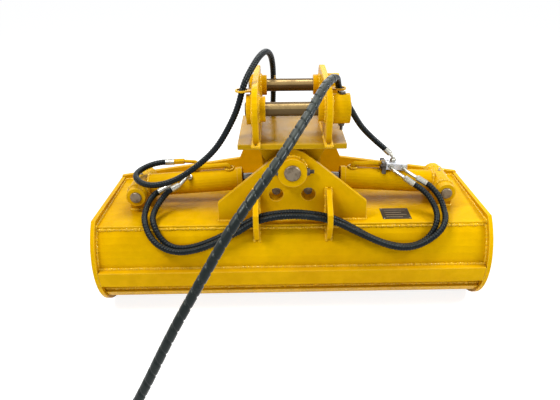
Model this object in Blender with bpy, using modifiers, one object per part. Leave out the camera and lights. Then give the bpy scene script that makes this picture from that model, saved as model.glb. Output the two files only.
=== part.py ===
"""Excavator tilt bucket: a wide ditching bucket that two hydraulic cylinders swing under a headstock.

Metres, +Z up. X runs across the bucket, -Y is the back that faces the digger and +Y is the mouth.
Everything is drawn from a datum line, the top back corner of the side plates, and an empty then
carries the lot so that the origin lies on the ground under the middle of the bucket.
"""

import math

import bmesh
import bpy
from mathutils import Matrix, Vector

# Clearances
SEAT = 0.0003  # between pieces that are welded, bolted or laid on each other
RUNNING = 0.0005  # at the ends of a turning or sliding piece
FIT = 0.0003  # radial, round a pin, rod or bush

# Bucket shell
WIDTH = 1.500
HEIGHT = 0.410
SIDE_THICKNESS = 0.016
RIM = 0.024  # how far the side plates stand out past the deck and the shell
SIDE_FALL = 0.012  # of the side plates' top edges towards the mouth
BELLY_SHARE = 0.5854  # of the height, the radius of the side plates' round back
BELLY_FORWARD = 0.0145  # how far the round back stands out behind the datum at its top
SHELL_THICKNESS = 0.010
DECK_THICKNESS = 0.014
DECK_DEPTH = 0.462
MOUTH_FOOT = 0.575  # where the side plates' front edges meet the lip
LIP_TIP = 0.620
LIP_ROOT = 0.450
LIP_STAND = 0.006  # of the lip's top over the underside of the floor
LIP_BEVEL = 0.040
LIP_NOSE = 0.003
LIP_BAR_DEPTH = 0.030
LIP_BAR_HEIGHT = 0.050
HEEL_THICKNESS = 0.022
HEEL_HEIGHT = 0.070
HEEL_ANGLE = math.radians(12.5)
STRIP_THICKNESS = 0.014
STRIP_HEIGHT = 0.050
STRIP_ANGLE = math.radians(41)

# Tilt pivot and the two hinge plates that carry it
TILT_PIN_HEIGHT = 0.180
TILT_PIN_RADIUS = 0.030
TILT_PIN_END = 0.007
HINGE_APEX_RADIUS = 0.080
HINGE_SLOPE = math.radians(40)
HINGE_THICKNESS = 0.020
FRONT_HINGE_Y = 0.018
FRONT_HINGE_HALF_WIDTH = 0.280
REAR_HINGE_SETBACK = 0.022  # from the deck's mouth edge
REAR_SHOULDER_X = 0.203
REAR_WING_X = 0.222
REAR_WING_TOP = 0.069
REAR_WING_END = -0.008
FRONT_BOSS_RADIUS = 0.054
FRONT_BOSS_LENGTH = 0.030
PIN_HEAD_RADIUS = 0.048
PIN_HEAD_LENGTH = 0.014
ACCESS_HOLE_RADIUS = 0.027
TILT_BOLT_RADIUS = 0.006
TILT_BOLT_TIP = 0.016
TILT_BOLT_SETBACK = 0.015  # from the front boss's outer face

# Ribs that guide the cross hoses round the back
RIB_X = 0.135
RIB_THICKNESS = 0.020
RIB_REACH = 0.090
RIB_TOP = 0.107
RIB_SHELF = 0.016
RIB_CHEEK_TOP = 0.048
RIB_CHEEK_FOOT = -0.004
RIB_FOOT = -0.078
RIB_WINDOW = (-0.0735, -0.0155, -0.0105, 0.0315)
RIB_WINDOW_CORNER = 0.012

# Cylinders
CYLINDER_Y = 0.200
BASE_PIN_X = 0.600
BASE_PIN_HEIGHT = 0.048
BASE_PIN_RADIUS = 0.021
BASE_PIN_STICK_OUT = 0.006
BASE_EYE_RADIUS = 0.040
BASE_EYE_WIDTH = 0.104
LUG_THICKNESS = 0.022
LUG_RADIUS = 0.040
LUG_HALF_FOOT = 0.035
LUG_BOSS_RADIUS = 0.0375
LUG_BOSS_LENGTH = 0.0405
ROD_PIN_X = 0.060
ROD_PIN_DROP = 0.097  # below the tilt pin
ROD_PIN_RADIUS = 0.018
ROD_EYE_RADIUS = 0.044
ROD_EYE_WIDTH = 0.060
ROD_RADIUS = 0.020
ROD_NECK_RADIUS = 0.027
ROD_NECK_LENGTH = 0.008
PISTON_LENGTH = 0.040
PISTON_STATION = 0.180  # from the base pin
BARREL_RADIUS = 0.045
BORE_RADIUS = 0.036
BARREL_START = 0.034
BARREL_BOTTOM = 0.070
BARREL_END = 0.388
GLAND_RADIUS = 0.047
GLAND_LENGTH = 0.018
PIPE_RADIUS = 0.0105
PIPE_NUT_RADIUS = 0.0135
PIPE_NUT_LENGTH = 0.020
PIPE_STAND = 0.0165  # of its axis over the barrel
PIPE_OUTER_LEFT = 0.211
PIPE_PORT_SETBACK = 0.030  # from the barrel's gland end
PIPE_SWEEP = 0.068  # before the port, where the right pipe starts to bend in over the barrel's middle
PIPE_BEND = 0.0125
BLOCK_STATION = 0.184
BLOCK_LENGTH = 0.086
BLOCK_DEPTH = 0.052
BLOCK_HEIGHT = 0.028
BLOCK_OFFSET = 0.012
BLOCK_BEVEL = 0.002
PIPE_RIGHT_OFFSET = 0.010
PORT_RADIUS = 0.016
PORT_HEIGHT = 0.002

# Headstock
BASE_HALF_WIDTH = 0.195
BASE_THICKNESS = 0.020
BASE_BACK = 0.005
BASE_FRONT = 0.370
BASE_TO_HINGE = 0.005  # running gap over the hinge plates' round tops
PIVOT_TUBE_RADIUS = 0.055
CLEVIS_THICKNESS = 0.020
CLEVIS_HALF_TOP = 0.120
CLEVIS_LOBE = 0.046
PIN_CAP_LENGTH = 0.010
SADDLE_THICKNESS = 0.020
SADDLE_HALF_TOP = 0.130
SADDLE_HUG = 0.070
SADDLE_BACK_Y = 0.050
SADDLE_FRONT_Y = 0.345
EAR_INNER_X = 0.118
EAR_THICKNESS = 0.022
EAR_INSET = 0.003
BOSS_INNER_X = 0.093
NEAR_PIN = (0.060, 0.398)
FAR_PIN = (0.362, 0.412)
NEAR_LOBE = 0.083
FAR_LOBE = 0.078
HITCH_PIN_RADIUS = 0.025
NEAR_BOSS_RADIUS = 0.045
FAR_BOSS_RADIUS = 0.040
NEAR_COLLAR_RADIUS = 0.0535
FAR_COLLAR_RADIUS = 0.0445
LEFT_COLLAR_END = 0.160
RIGHT_COLLAR_END = 0.205
RIGHT_FAR_COLLAR_END = 0.196
HITCH_PIN_STICK_OUT = 0.006
LOCK_BOLT_RADIUS = 0.006
LOCK_BOLT_TIP = 0.016
LOCK_BOLT_X = 0.178
GUIDE_THICKNESS = 0.006
GUIDE_RADIUS = 0.0245
GUIDE_HOLE = 0.0190
GUIDE_SIDES = 16
LEFT_GUIDE = (-0.174, 0.062, 0.465)
RIGHT_GUIDE = (0.174, 0.123, 0.455)

# Hoses and what is on their ends
HOSE_RADIUS = 0.0115
GUARD_RADIUS = 0.0150  # of the spiral guard round the right supply hose
GUARD_START = 0.140  # the guard starts where the hose comes back inside this distance from the middle
ELBOW_RADIUS = 0.0070
ELBOW_REACH = 0.016
NUT_RADIUS = 0.0125
NUT_LENGTH = 0.012
FERRULE_RADIUS = 0.0125
FERRULE_NECK = 0.004
COUPLER_LENGTH = 0.090
COUPLER_RADIUS = 0.0215
COUPLER_BODY_RADIUS = 0.0185

CROSS_HOSE_STEP = 0.031
SUPPLY_HOSE_STEP = 0.048
HOSE_LEAD = 0.012  # straight length at each end

ROUND = 24
BOLT_SIDES = 12
BOLT_HEAD_SHARE = 1.7  # of the bolt's radius, like the next two
BOLT_NUT_SHARE = 1.5
BOLT_CAP_SHARE = 1.2
OVERLAP = 0.004  # how far a joined piece reaches into the one that it joins
CUTTER_SPARE = 0.010  # how far a drill reaches past what it cuts

# Values that follow from the sizes above
BELLY_RADIUS = HEIGHT * BELLY_SHARE
BELLY_Z = BELLY_RADIUS - HEIGHT
BELLY_Y = math.sqrt(BELLY_RADIUS**2 - BELLY_Z**2) - BELLY_FORWARD
SHELL_RADIUS = BELLY_RADIUS - RIM
DECK_TOP = -RIM
DECK_UNDER = DECK_TOP - DECK_THICKNESS
INNER_X = WIDTH / 2 - SIDE_THICKNESS - SEAT
DECK_BACK = BELLY_Y - math.sqrt(SHELL_RADIUS**2 - (DECK_UNDER - BELLY_Z) ** 2)
LIP_TOP = RIM + LIP_STAND - HEIGHT
BASE_UNDER = TILT_PIN_HEIGHT + HINGE_APEX_RADIUS + BASE_TO_HINGE
BASE_TOP = BASE_UNDER + BASE_THICKNESS
REAR_HINGE_Y = DECK_DEPTH - REAR_HINGE_SETBACK
EAR_OUTER_X = EAR_INNER_X + EAR_THICKNESS
PIVOT_BACK = FRONT_HINGE_Y + HINGE_THICKNESS + RUNNING
PIVOT_FRONT = REAR_HINGE_Y - RUNNING
ROD_PIN_HEIGHT = TILT_PIN_HEIGHT - ROD_PIN_DROP
REST_LENGTH = math.hypot(BASE_PIN_X - ROD_PIN_X, ROD_PIN_HEIGHT - BASE_PIN_HEIGHT)
REST_ANGLE = math.atan2(ROD_PIN_HEIGHT - BASE_PIN_HEIGHT, BASE_PIN_X - ROD_PIN_X)
LUG_INNER = BASE_EYE_WIDTH / 2 + RUNNING
CLEVIS_INNER = ROD_EYE_WIDTH / 2 + RUNNING
PIPE_LIFT = BARREL_RADIUS + PIPE_STAND
PIPE_PORT = BARREL_END - PIPE_PORT_SETBACK
PIPE_OUTER_RIGHT = BLOCK_STATION + BLOCK_LENGTH / 2 + SEAT
BLOCK_LIFT = BARREL_RADIUS + SEAT + BLOCK_HEIGHT / 2
ORIGIN_Y = (RIB_REACH - LIP_TIP) / 2

# Colour, metallic and roughness of each finish
FINISHES = {
    "paint": ((0.78, 0.42, 0.01), 0.0, 0.38),
    "steel": ((0.32, 0.29, 0.25), 0.9, 0.45),
    "chrome": ((0.75, 0.76, 0.78), 1.0, 0.12),
    "zinc": ((0.62, 0.61, 0.58), 0.9, 0.35),
    "rubber": ((0.02, 0.022, 0.025), 0.0, 0.5),
}

# Routes of the hoses from the datum, chosen by eye from the picture of the real thing
CROSS_HOSE_LOW = [
    (-0.546, 0.082, 0.043),
    (-0.558, 0.050, 0.016),
    (-0.558, 0.018, 0.002),
    (-0.553, -0.013, -0.001),
    (-0.541, -0.039, -0.028),
    (-0.521, -0.066, -0.052),
    (-0.485, -0.083, -0.078),
    (-0.431, -0.090, -0.096),
    (-0.375, -0.089, -0.092),
    (-0.319, -0.084, -0.078),
    (-0.257, -0.074, -0.052),
    (-0.191, -0.067, -0.022),
    (-0.152, -0.060, 0.004),
    (-0.072, -0.058, 0.026),
    (0.000, -0.058, 0.031),
    (0.067, -0.058, 0.026),
    (0.135, -0.058, 0.011),
    (0.178, -0.062, -0.005),
    (0.214, -0.066, -0.024),
    (0.252, -0.069, -0.042),
    (0.306, -0.079, -0.066),
    (0.362, -0.086, -0.085),
    (0.417, -0.089, -0.093),
    (0.472, -0.085, -0.082),
    (0.515, -0.076, -0.059),
    (0.554, -0.062, -0.029),
    (0.573, -0.026, 0.003),
    (0.577, 0.016, 0.004),
    (0.573, 0.045, 0.034),
    (0.553, 0.070, 0.063),
]
CROSS_HOSE_HIGH = [
    (-0.494, 0.085, 0.050),
    (-0.518, 0.052, 0.022),
    (-0.527, 0.018, 0.003),
    (-0.522, -0.013, -0.001),
    (-0.511, -0.034, -0.026),
    (-0.498, -0.045, -0.052),
    (-0.475, -0.055, -0.076),
    (-0.435, -0.063, -0.094),
    (-0.379, -0.062, -0.091),
    (-0.323, -0.056, -0.076),
    (-0.260, -0.044, -0.052),
    (-0.208, -0.042, -0.022),
    (-0.135, -0.031, 0.013),
    (-0.072, -0.031, 0.028),
    (0.000, -0.031, 0.034),
    (0.068, -0.031, 0.027),
    (0.135, -0.031, 0.013),
    (0.179, -0.035, -0.004),
    (0.216, -0.038, -0.025),
    (0.255, -0.043, -0.048),
    (0.310, -0.055, -0.074),
    (0.367, -0.062, -0.092),
    (0.423, -0.065, -0.100),
    (0.478, -0.061, -0.089),
    (0.510, -0.052, -0.068),
    (0.531, -0.044, -0.038),
    (0.543, -0.019, -0.003),
    (0.548, 0.017, 0.005),
    (0.534, 0.050, 0.038),
    (0.505, 0.078, 0.067),
]
SUPPLY_HOSE_LEFT = [
    (-0.553, 0.235, 0.128),
    (-0.588, 0.210, 0.120),
    (-0.609, 0.165, 0.115),
    (-0.594, 0.110, 0.111),
    (-0.540, 0.070, 0.104),
    (-0.458, 0.052, 0.124),
    (-0.380, 0.052, 0.166),
    (-0.283, 0.056, 0.248),
    (-0.217, 0.060, 0.350),
    (-0.186, 0.062, 0.420),
    (-0.174, 0.062, 0.465),
    (-0.159, 0.078, 0.502),
    (-0.139, 0.112, 0.532),
    (-0.117, 0.170, 0.558),
    (-0.092, 0.243, 0.567),
    (-0.075, 0.308, 0.541),
    (-0.068, 0.358, 0.492),
    (-0.067, 0.405, 0.430),
    (-0.069, 0.433, 0.354),
    (-0.072, 0.456, 0.295),
    (-0.080, 0.488, 0.230),
    (-0.092, 0.518, 0.160),
    (-0.108, 0.552, 0.070),
    (-0.125, 0.586, -0.030),
    (-0.142, 0.621, -0.140),
    (-0.162, 0.656, -0.264),
    (-0.190, 0.690, -0.352),
    (-0.234, 0.722, -0.390),
    (-0.300, 0.752, -0.3980),
    (-0.380, 0.772, -0.3960),
    (-0.460, 0.775, -0.3880),
]
SUPPLY_HOSE_RIGHT = [
    (0.347, 0.228, 0.207),
    (0.307, 0.215, 0.246),
    (0.274, 0.196, 0.284),
    (0.249, 0.176, 0.322),
    (0.225, 0.153, 0.364),
    (0.172, 0.125, 0.455),
    (0.167, 0.104, 0.485),
    (0.157, 0.062, 0.508),
    (0.137, 0.000, 0.519),
    (0.111, -0.065, 0.515),
    (0.086, -0.130, 0.500),
    (0.057, -0.198, 0.472),
    (0.012, -0.280, 0.431),
    (-0.037, -0.360, 0.382),
    (-0.091, -0.430, 0.328),
    (-0.145, -0.480, 0.268),
    (-0.193, -0.515, 0.206),
    (-0.238, -0.545, 0.136),
    (-0.294, -0.570, 0.045),
    (-0.342, -0.590, -0.036),
    (-0.388, -0.602, -0.122),
    (-0.426, -0.611, -0.197),
    (-0.464, -0.617, -0.270),
    (-0.503, -0.622, -0.337),
    (-0.548, -0.626, -0.380),
    (-0.608, -0.630, -0.3940),
    (-0.678, -0.630, -0.3935),
    (-0.753, -0.622, -0.3880),
]

# Each hose end from its port, through its bends, to the start and the end of its ferrule
HOSE_ENDS = {
    "low_hose_end_left": [
        (-0.4380, 0.1664, 0.0919),
        (-0.4400, 0.1530, 0.1055),
        (-0.4550, 0.1340, 0.0980),
        (-0.4740, 0.1200, 0.0800),
        (-0.5160, 0.1100, 0.0600),
    ],
    "high_hose_end_left": [
        (-0.4010, 0.1666, 0.0941),
        (-0.4020, 0.1530, 0.1079),
        (-0.4150, 0.1280, 0.1020),
        (-0.4320, 0.1130, 0.0866),
        (-0.4630, 0.0920, 0.0760),
    ],
    "supply_hose_end_left": [
        (-0.3790, 0.2262, 0.0998),
        (-0.3800, 0.2430, 0.1300),
        (-0.4280, 0.2400, 0.1350),
        (-0.5050, 0.2400, 0.1320),
    ],
    "high_hose_end_right": [
        (0.3980, 0.1857, 0.1204),
        (0.3980, 0.1550, 0.1204),
        (0.4370, 0.1180, 0.1030),
        (0.4750, 0.1000, 0.0810),
    ],
    "low_hose_end_right": [
        (0.4480, 0.1857, 0.1170),
        (0.4480, 0.1550, 0.1170),
        (0.4840, 0.1200, 0.1030),
        (0.5230, 0.1000, 0.0830),
    ],
    "supply_hose_end_right": [
        (0.4082, 0.2120, 0.1342),
        (0.4092, 0.2120, 0.1520),
        (0.4000, 0.2170, 0.1620),
        (0.3780, 0.2270, 0.1800),
    ],
}

TURNS = {
    "X": Matrix.Rotation(math.radians(90), 4, "Y"),
    "Y": Matrix.Rotation(math.radians(-90), 4, "X"),
    "Z": Matrix.Identity(4),
}
PLANES = {
    "XZ": Matrix(((1, 0, 0, 0), (0, 0, -1, 0), (0, 1, 0, 0), (0, 0, 0, 1))),
    "YZ": Matrix(((0, 0, 1, 0), (1, 0, 0, 0), (0, 1, 0, 0), (0, 0, 0, 1))),
    "XY": Matrix.Identity(4),
}


def clear_scene():
    for old in list(bpy.data.objects):
        bpy.data.objects.remove(old)


def collection(name):
    made = bpy.data.collections.new(name)
    bpy.context.scene.collection.children.link(made)
    return made


def material(node, finish):
    """One Principled material for each sub-part."""
    colour, metallic, roughness = FINISHES[finish]
    made = bpy.data.materials.new(node)
    made.use_nodes = True
    made.diffuse_color = (*colour, 1)
    shader = made.node_tree.nodes["Principled BSDF"]
    shader.inputs["Base Color"].default_value = (*colour, 1)
    shader.inputs["Metallic"].default_value = metallic
    shader.inputs["Roughness"].default_value = roughness
    return made


class Workshop:
    """Makes sub-parts and cutters in the two collections, under a parent that places them."""

    def __init__(self):
        self.parts = collection("tilt_bucket")
        self.cutters = collection("cutters")
        self.datum = self.empty("datum", (0, ORIGIN_Y, HEIGHT), None)

    def empty(self, name, location, parent):
        made = bpy.data.objects.new(name, None)
        made.location = location
        made.parent = parent
        self.parts.objects.link(made)
        return made

    def add(self, name, data, finish, place, parent):
        made = bpy.data.objects.new(name, data)
        made.parent = parent or self.datum
        made.matrix_basis = place
        if finish:
            data.materials.append(material(name, finish))
            self.parts.objects.link(made)
        else:
            made.hide_render = True
            made.display_type = "WIRE"
            self.cutters.objects.link(made)
        return made

    def plate(self, name, finish, outline, span, plane="XZ", holes=(), bevel=0.0, parent=None):
        """A flat plate with this outline, from span[0] to span[1] along the plane's normal."""
        sign = -1 if plane == "XZ" else 1
        curve = bpy.data.curves.new(name, "CURVE")
        curve.dimensions = "2D"
        curve.fill_mode = "BOTH"
        curve.extrude = abs(span[1] - span[0]) / 2
        for loop in (outline, *holes):
            spline = curve.splines.new("POLY")
            spline.points.add(len(loop) - 1)
            for point, (a, b) in zip(spline.points, loop):
                point.co = (a, b, 0, 1)
            spline.use_cyclic_u = True
        place = PLANES[plane] @ Matrix.Translation((0, 0, sign * (span[0] + span[1]) / 2))
        made = self.add(name, curve, finish, place, parent)
        weld = made.modifiers.new("weld", "WELD")
        weld.merge_threshold = 0.00002
        if bevel:
            self.bevel(made, bevel)
        return made

    def bevel(self, made, width, segments=1):
        edge = made.modifiers.new("bevel", "BEVEL")
        edge.width = width
        edge.segments = segments
        edge.limit_method = "ANGLE"
        edge.angle_limit = math.radians(40)

    def turned(self, name, finish, profile, axis, centre, parent=None, closed=False, steps=ROUND):
        """A turned piece: profile gives (height along the axis, radius), from the far end back."""
        mesh = bpy.data.meshes.new(name)
        points = [(radius, 0, height) for height, radius in profile]
        edges = [(i, i + 1) for i in range(len(points) - 1)]
        if closed:
            edges.append((len(points) - 1, 0))
        mesh.from_pydata(points, edges, [])
        made = self.add(name, mesh, finish, Matrix.Translation(centre) @ TURNS[axis], parent)
        screw = made.modifiers.new("turn", "SCREW")
        screw.steps = steps
        screw.render_steps = steps
        screw.use_merge_vertices = True
        screw.merge_threshold = 0.00002
        screw.use_smooth_shade = True
        return made

    def ring(self, name, finish, start, end, bore, radius, axis, centre, parent=None, steps=ROUND):
        """A tube from start to end along the axis."""
        profile = [(end, radius), (start, radius), (start, bore), (end, bore)]
        return self.turned(name, finish, profile, axis, centre, parent, closed=True, steps=steps)

    def shaft(self, name, finish, start, end, radius, axis, centre, parent=None, chamfer=0.0, steps=ROUND):
        """A solid round bar from start to end along the axis."""
        profile = [(end, 0), (end, radius - chamfer), (start, radius - chamfer), (start, 0)]
        if chamfer:
            profile[2:2] = [(end - chamfer, radius), (start + chamfer, radius)]
        else:
            profile[1] = (end, radius)
            profile[2] = (start, radius)
        return self.turned(name, finish, profile, axis, centre, parent, steps=steps)

    def tube(self, name, finish, points, radius, parent=None, resolution=2, radii=None):
        """A round bar or hose along the points; radii scales it from point to point."""
        curve = bpy.data.curves.new(name, "CURVE")
        curve.dimensions = "3D"
        curve.bevel_depth = radius
        curve.bevel_resolution = resolution
        curve.use_fill_caps = True
        spline = curve.splines.new("POLY")
        spline.points.add(len(points) - 1)
        for k, (point, place) in enumerate(zip(spline.points, points)):
            point.co = (*place, 1)
            point.radius = radii[k] / radius if radii else 1
        return self.add(name, curve, finish, Matrix.Identity(4), parent)

    def box(self, name, finish, size, centre, parent=None, bevel=0.0):
        mesh = bpy.data.meshes.new(name)
        form = bmesh.new()
        bmesh.ops.create_cube(form, size=1)
        bmesh.ops.scale(form, vec=size, verts=form.verts)
        form.to_mesh(mesh)
        form.free()
        made = self.add(name, mesh, finish, Matrix.Translation(centre), parent)
        if bevel:
            self.bevel(made, bevel)
        return made

    def as_mesh(self, shape):
        """The same piece as a plain mesh, so that it can be cut and joined."""
        bpy.context.view_layer.update()
        graph = bpy.context.evaluated_depsgraph_get()
        mesh = bpy.data.meshes.new_from_object(shape.evaluated_get(graph))
        form = bmesh.new()
        form.from_mesh(mesh)
        bmesh.ops.remove_doubles(form, verts=form.verts, dist=0.00002)
        form.to_mesh(mesh)
        form.free()
        name, home, parent = shape.name, shape.users_collection[0], shape.parent
        place, hidden, look = shape.matrix_basis.copy(), shape.hide_render, shape.display_type
        bpy.data.objects.remove(shape)
        made = bpy.data.objects.new(name, mesh)
        made.parent = parent
        made.matrix_basis = place
        made.hide_render = hidden
        made.display_type = look
        home.objects.link(made)
        return made

    def combine(self, shape, tool, operation):
        joint = shape.modifiers.new(operation.lower(), "BOOLEAN")
        joint.operation = operation
        joint.solver = "EXACT"
        joint.object = tool

    def cut(self, shape, tool):
        self.combine(shape, tool, "DIFFERENCE")

    def join(self, shape, tool):
        self.combine(shape, tool, "UNION")


def arc(centre, radius, start, end, count):
    """Points on a circle from one angle to another, in radians."""
    step = (end - start) / count
    return [
        (centre[0] + radius * math.cos(start + step * k), centre[1] + radius * math.sin(start + step * k))
        for k in range(count + 1)
    ]


def circle(centre, radius, count=24):
    return arc(centre, radius, 0, 2 * math.pi, count)[:-1]


def belly_arc(radius, top, count):
    """The round back, from the height top down to the bottom."""
    start = math.pi - math.asin((top - BELLY_Z) / radius)
    return arc((BELLY_Y, BELLY_Z), radius, start, math.pi * 1.5, count)


def hull(points):
    """The outline round a set of points, anticlockwise."""
    ordered = sorted(set(points))

    def half(row):
        chain = []
        for p in row:
            while len(chain) > 1 and turn(chain[-2], chain[-1], p) <= 0:
                chain.pop()
            chain.append(p)
        return chain[:-1]

    def turn(a, b, c):
        return (b[0] - a[0]) * (c[1] - a[1]) - (b[1] - a[1]) * (c[0] - a[0])

    return half(ordered) + half(ordered[::-1])


def rounded_slot(left, right, low, high, corner, count=4):
    """A rectangular window with round corners."""
    quarter = math.pi / 2
    points = []
    near, far, under, over = left + corner, right - corner, low + corner, high - corner
    for k, (x, z) in enumerate([(far, over), (near, over), (near, under), (far, under)]):
        points += arc((x, z), corner, quarter * k, quarter * (k + 1), count)
    return points


def smooth_route(points, spacing):
    """Points at even spacing on one smooth curve through the given ones."""
    rows = [Vector(p) for p in points]
    rows = [rows[0] * 2 - rows[1], *rows, rows[-1] * 2 - rows[-2]]
    fine = []
    for a, b, c, d in zip(rows, rows[1:], rows[2:], rows[3:]):
        for k in range(12):
            t = k / 12
            square = (2 * a - 5 * b + 4 * c - d) * t**2
            cube = (3 * b - a - 3 * c + d) * t**3
            fine.append(0.5 * (2 * b + (c - a) * t + square + cube))
    fine.append(rows[-2])
    reach = [0.0]
    for a, b in zip(fine, fine[1:]):
        reach.append(reach[-1] + (b - a).length)
    count = max(2, round(reach[-1] / spacing))
    even = []
    k = 0
    for i in range(count + 1):
        want = reach[-1] * i / count
        while k < len(reach) - 2 and reach[k + 1] < want:
            k += 1
        share = (want - reach[k]) / max(reach[k + 1] - reach[k], 1e-9)
        even.append(fine[k].lerp(fine[k + 1], min(share, 1)))
    return even


def side_plates(shop):
    """Two flat cheeks: sloping top, round back, slanting mouth, a shelf for the rear hinge plate."""
    foot = -HEIGHT
    shelf = REAR_HINGE_Y - SEAT
    outline = [
        (shelf, -SIDE_FALL),
        *belly_arc(BELLY_RADIUS, 0, 20),
        (LIP_ROOT - SEAT, foot),
        (LIP_ROOT - SEAT, LIP_TOP + SEAT),
        (MOUTH_FOOT, LIP_TOP + SEAT),
        (DECK_DEPTH, DECK_TOP),
        (shelf, DECK_TOP),
    ]
    for side, sign in (("left", -1), ("right", 1)):
        inner = sign * (WIDTH / 2 - SIDE_THICKNESS)
        span = sorted((inner, sign * WIDTH / 2))
        shop.plate(f"side_plate_{side}", "paint", outline, span, "YZ", bevel=0.001)


def shell(shop):
    """The bent plate that makes the round back and the flat floor."""
    top = DECK_UNDER - SEAT
    outer = belly_arc(SHELL_RADIUS, top, 18)
    inner = belly_arc(SHELL_RADIUS - SHELL_THICKNESS, top, 18)
    front = LIP_ROOT - SEAT
    outline = [*outer, (front, outer[-1][1]), (front, inner[-1][1]), *inner[::-1]]
    shop.plate("shell", "paint", outline, (-INNER_X, INNER_X), "YZ")


def deck(shop):
    """The flat top plate that laps over the shell, with a stiffening bar under its mouth edge."""
    outline = [(DECK_BACK, DECK_UNDER), (DECK_DEPTH, DECK_UNDER), (DECK_DEPTH, DECK_TOP), (DECK_BACK, DECK_TOP)]
    shop.plate("top_deck", "paint", outline, (-INNER_X, INNER_X), "YZ", bevel=0.002)
    top = DECK_UNDER - SEAT
    bar = [
        (DECK_DEPTH - LIP_BAR_DEPTH, top - LIP_BAR_HEIGHT),
        (DECK_DEPTH, top - LIP_BAR_HEIGHT),
        (DECK_DEPTH, top),
        (DECK_DEPTH - LIP_BAR_DEPTH, top),
    ]
    shop.plate("lip_bar", "paint", bar, (-INNER_X, INNER_X), "YZ", bevel=0.003)


def cutting_edge(shop):
    """The flat bevelled lip under the side plates."""
    ground = -HEIGHT
    outline = [
        (LIP_ROOT, ground),
        (LIP_TIP, ground),
        (LIP_TIP, ground + LIP_NOSE),
        (LIP_TIP - LIP_BEVEL, LIP_TOP),
        (LIP_ROOT, LIP_TOP),
    ]
    shop.plate("cutting_edge", "paint", outline, (-WIDTH / 2, WIDTH / 2), "YZ", bevel=0.0012)


def heel_plates(shop):
    """Two flat wear bars laid across the round heel."""
    for name, angle, thickness, height in (
        ("heel_wear_plate", HEEL_ANGLE, HEEL_THICKNESS, HEEL_HEIGHT),
        ("heel_strip", STRIP_ANGLE, STRIP_THICKNESS, STRIP_HEIGHT),
    ):
        out = Vector((-math.cos(angle), -math.sin(angle)))
        along = Vector((math.sin(angle), -math.cos(angle)))
        foot = Vector((BELLY_Y, BELLY_Z)) + out * (SHELL_RADIUS + SEAT)
        corners = [
            foot - along * height / 2,
            foot + along * height / 2,
            foot + along * height / 2 + out * thickness,
            foot - along * height / 2 + out * thickness,
        ]
        outline = [tuple(c) for c in corners]
        shop.plate(name, "paint", outline, (-INNER_X, INNER_X), "YZ", bevel=0.002)


def hinge_slope_point():
    """Where the sloping edge leaves the round top of a hinge plate, on the right."""
    return (
        HINGE_APEX_RADIUS * math.sin(HINGE_SLOPE),
        TILT_PIN_HEIGHT + HINGE_APEX_RADIUS * math.cos(HINGE_SLOPE),
    )


def hinge_slope_height(x):
    """Height of the sloping edge at x."""
    touch = hinge_slope_point()
    return touch[1] - (x - touch[0]) * math.tan(HINGE_SLOPE)


def mirrored(right):
    """An outline from its right half, listed from the bottom up."""
    return right + [(-x, z) for x, z in right[::-1] if x > 1e-9]


def hinge_plates(shop):
    """The two plates across the deck that hold the tilt pin, cut to the angle of full tilt."""
    apex = arc((0, TILT_PIN_HEIGHT), HINGE_APEX_RADIUS, math.pi / 2 - HINGE_SLOPE, math.pi / 2, 6)
    foot = DECK_TOP + SEAT
    bore = circle((0, TILT_PIN_HEIGHT), TILT_PIN_RADIUS + FIT, ROUND)
    access = [circle((sign * ROD_PIN_X, ROD_PIN_HEIGHT), ACCESS_HOLE_RADIUS) for sign in (-1, 1)]
    edge = FRONT_HINGE_HALF_WIDTH
    front = [(edge, foot), (edge, hinge_slope_height(edge)), *apex]
    span = (FRONT_HINGE_Y, FRONT_HINGE_Y + HINGE_THICKNESS)
    shop.plate("front_hinge_plate", "paint", mirrored(front), span, holes=[bore, *access], bevel=0.0015)
    rear = [
        (WIDTH / 2, foot),
        (WIDTH / 2, REAR_WING_END),
        (REAR_WING_X, REAR_WING_TOP),
        (REAR_SHOULDER_X, hinge_slope_height(REAR_SHOULDER_X)),
        *apex,
    ]
    span = (REAR_HINGE_Y, REAR_HINGE_Y + HINGE_THICKNESS)
    shop.plate("rear_hinge_plate", "paint", mirrored(rear), span, holes=[bore], bevel=0.0015)


def tilt_pin(shop):
    """The pivot pin, headed at the mouth side and cross-bolted in a boss at the back."""
    centre = (0, 0, TILT_PIN_HEIGHT)
    boss_end = FRONT_HINGE_Y - SEAT
    boss_start = boss_end - FRONT_BOSS_LENGTH
    boss = shop.ring(
        "front_pin_boss", "paint", boss_start, boss_end, TILT_PIN_RADIUS + FIT, FRONT_BOSS_RADIUS, "Y", centre
    )
    head = REAR_HINGE_Y + HINGE_THICKNESS + SEAT
    start = boss_start - TILT_PIN_END
    chamfer = 0.003
    profile = [
        (head + PIN_HEAD_LENGTH, 0),
        (head + PIN_HEAD_LENGTH, PIN_HEAD_RADIUS - chamfer),
        (head + PIN_HEAD_LENGTH - chamfer, PIN_HEAD_RADIUS),
        (head, PIN_HEAD_RADIUS),
        (head, TILT_PIN_RADIUS),
        (start + chamfer, TILT_PIN_RADIUS),
        (start, TILT_PIN_RADIUS - chamfer),
        (start, 0),
    ]
    pin = shop.turned("tilt_pin", "steel", profile, "Y", centre)
    bolt_place = (0, boss_start + TILT_BOLT_SETBACK, TILT_PIN_HEIGHT)
    reach = FRONT_BOSS_RADIUS + SEAT
    cross_bolt(shop, "tilt_pin_bolt", "X", bolt_place, reach, TILT_BOLT_RADIUS, TILT_BOLT_TIP, (boss, pin))


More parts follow.
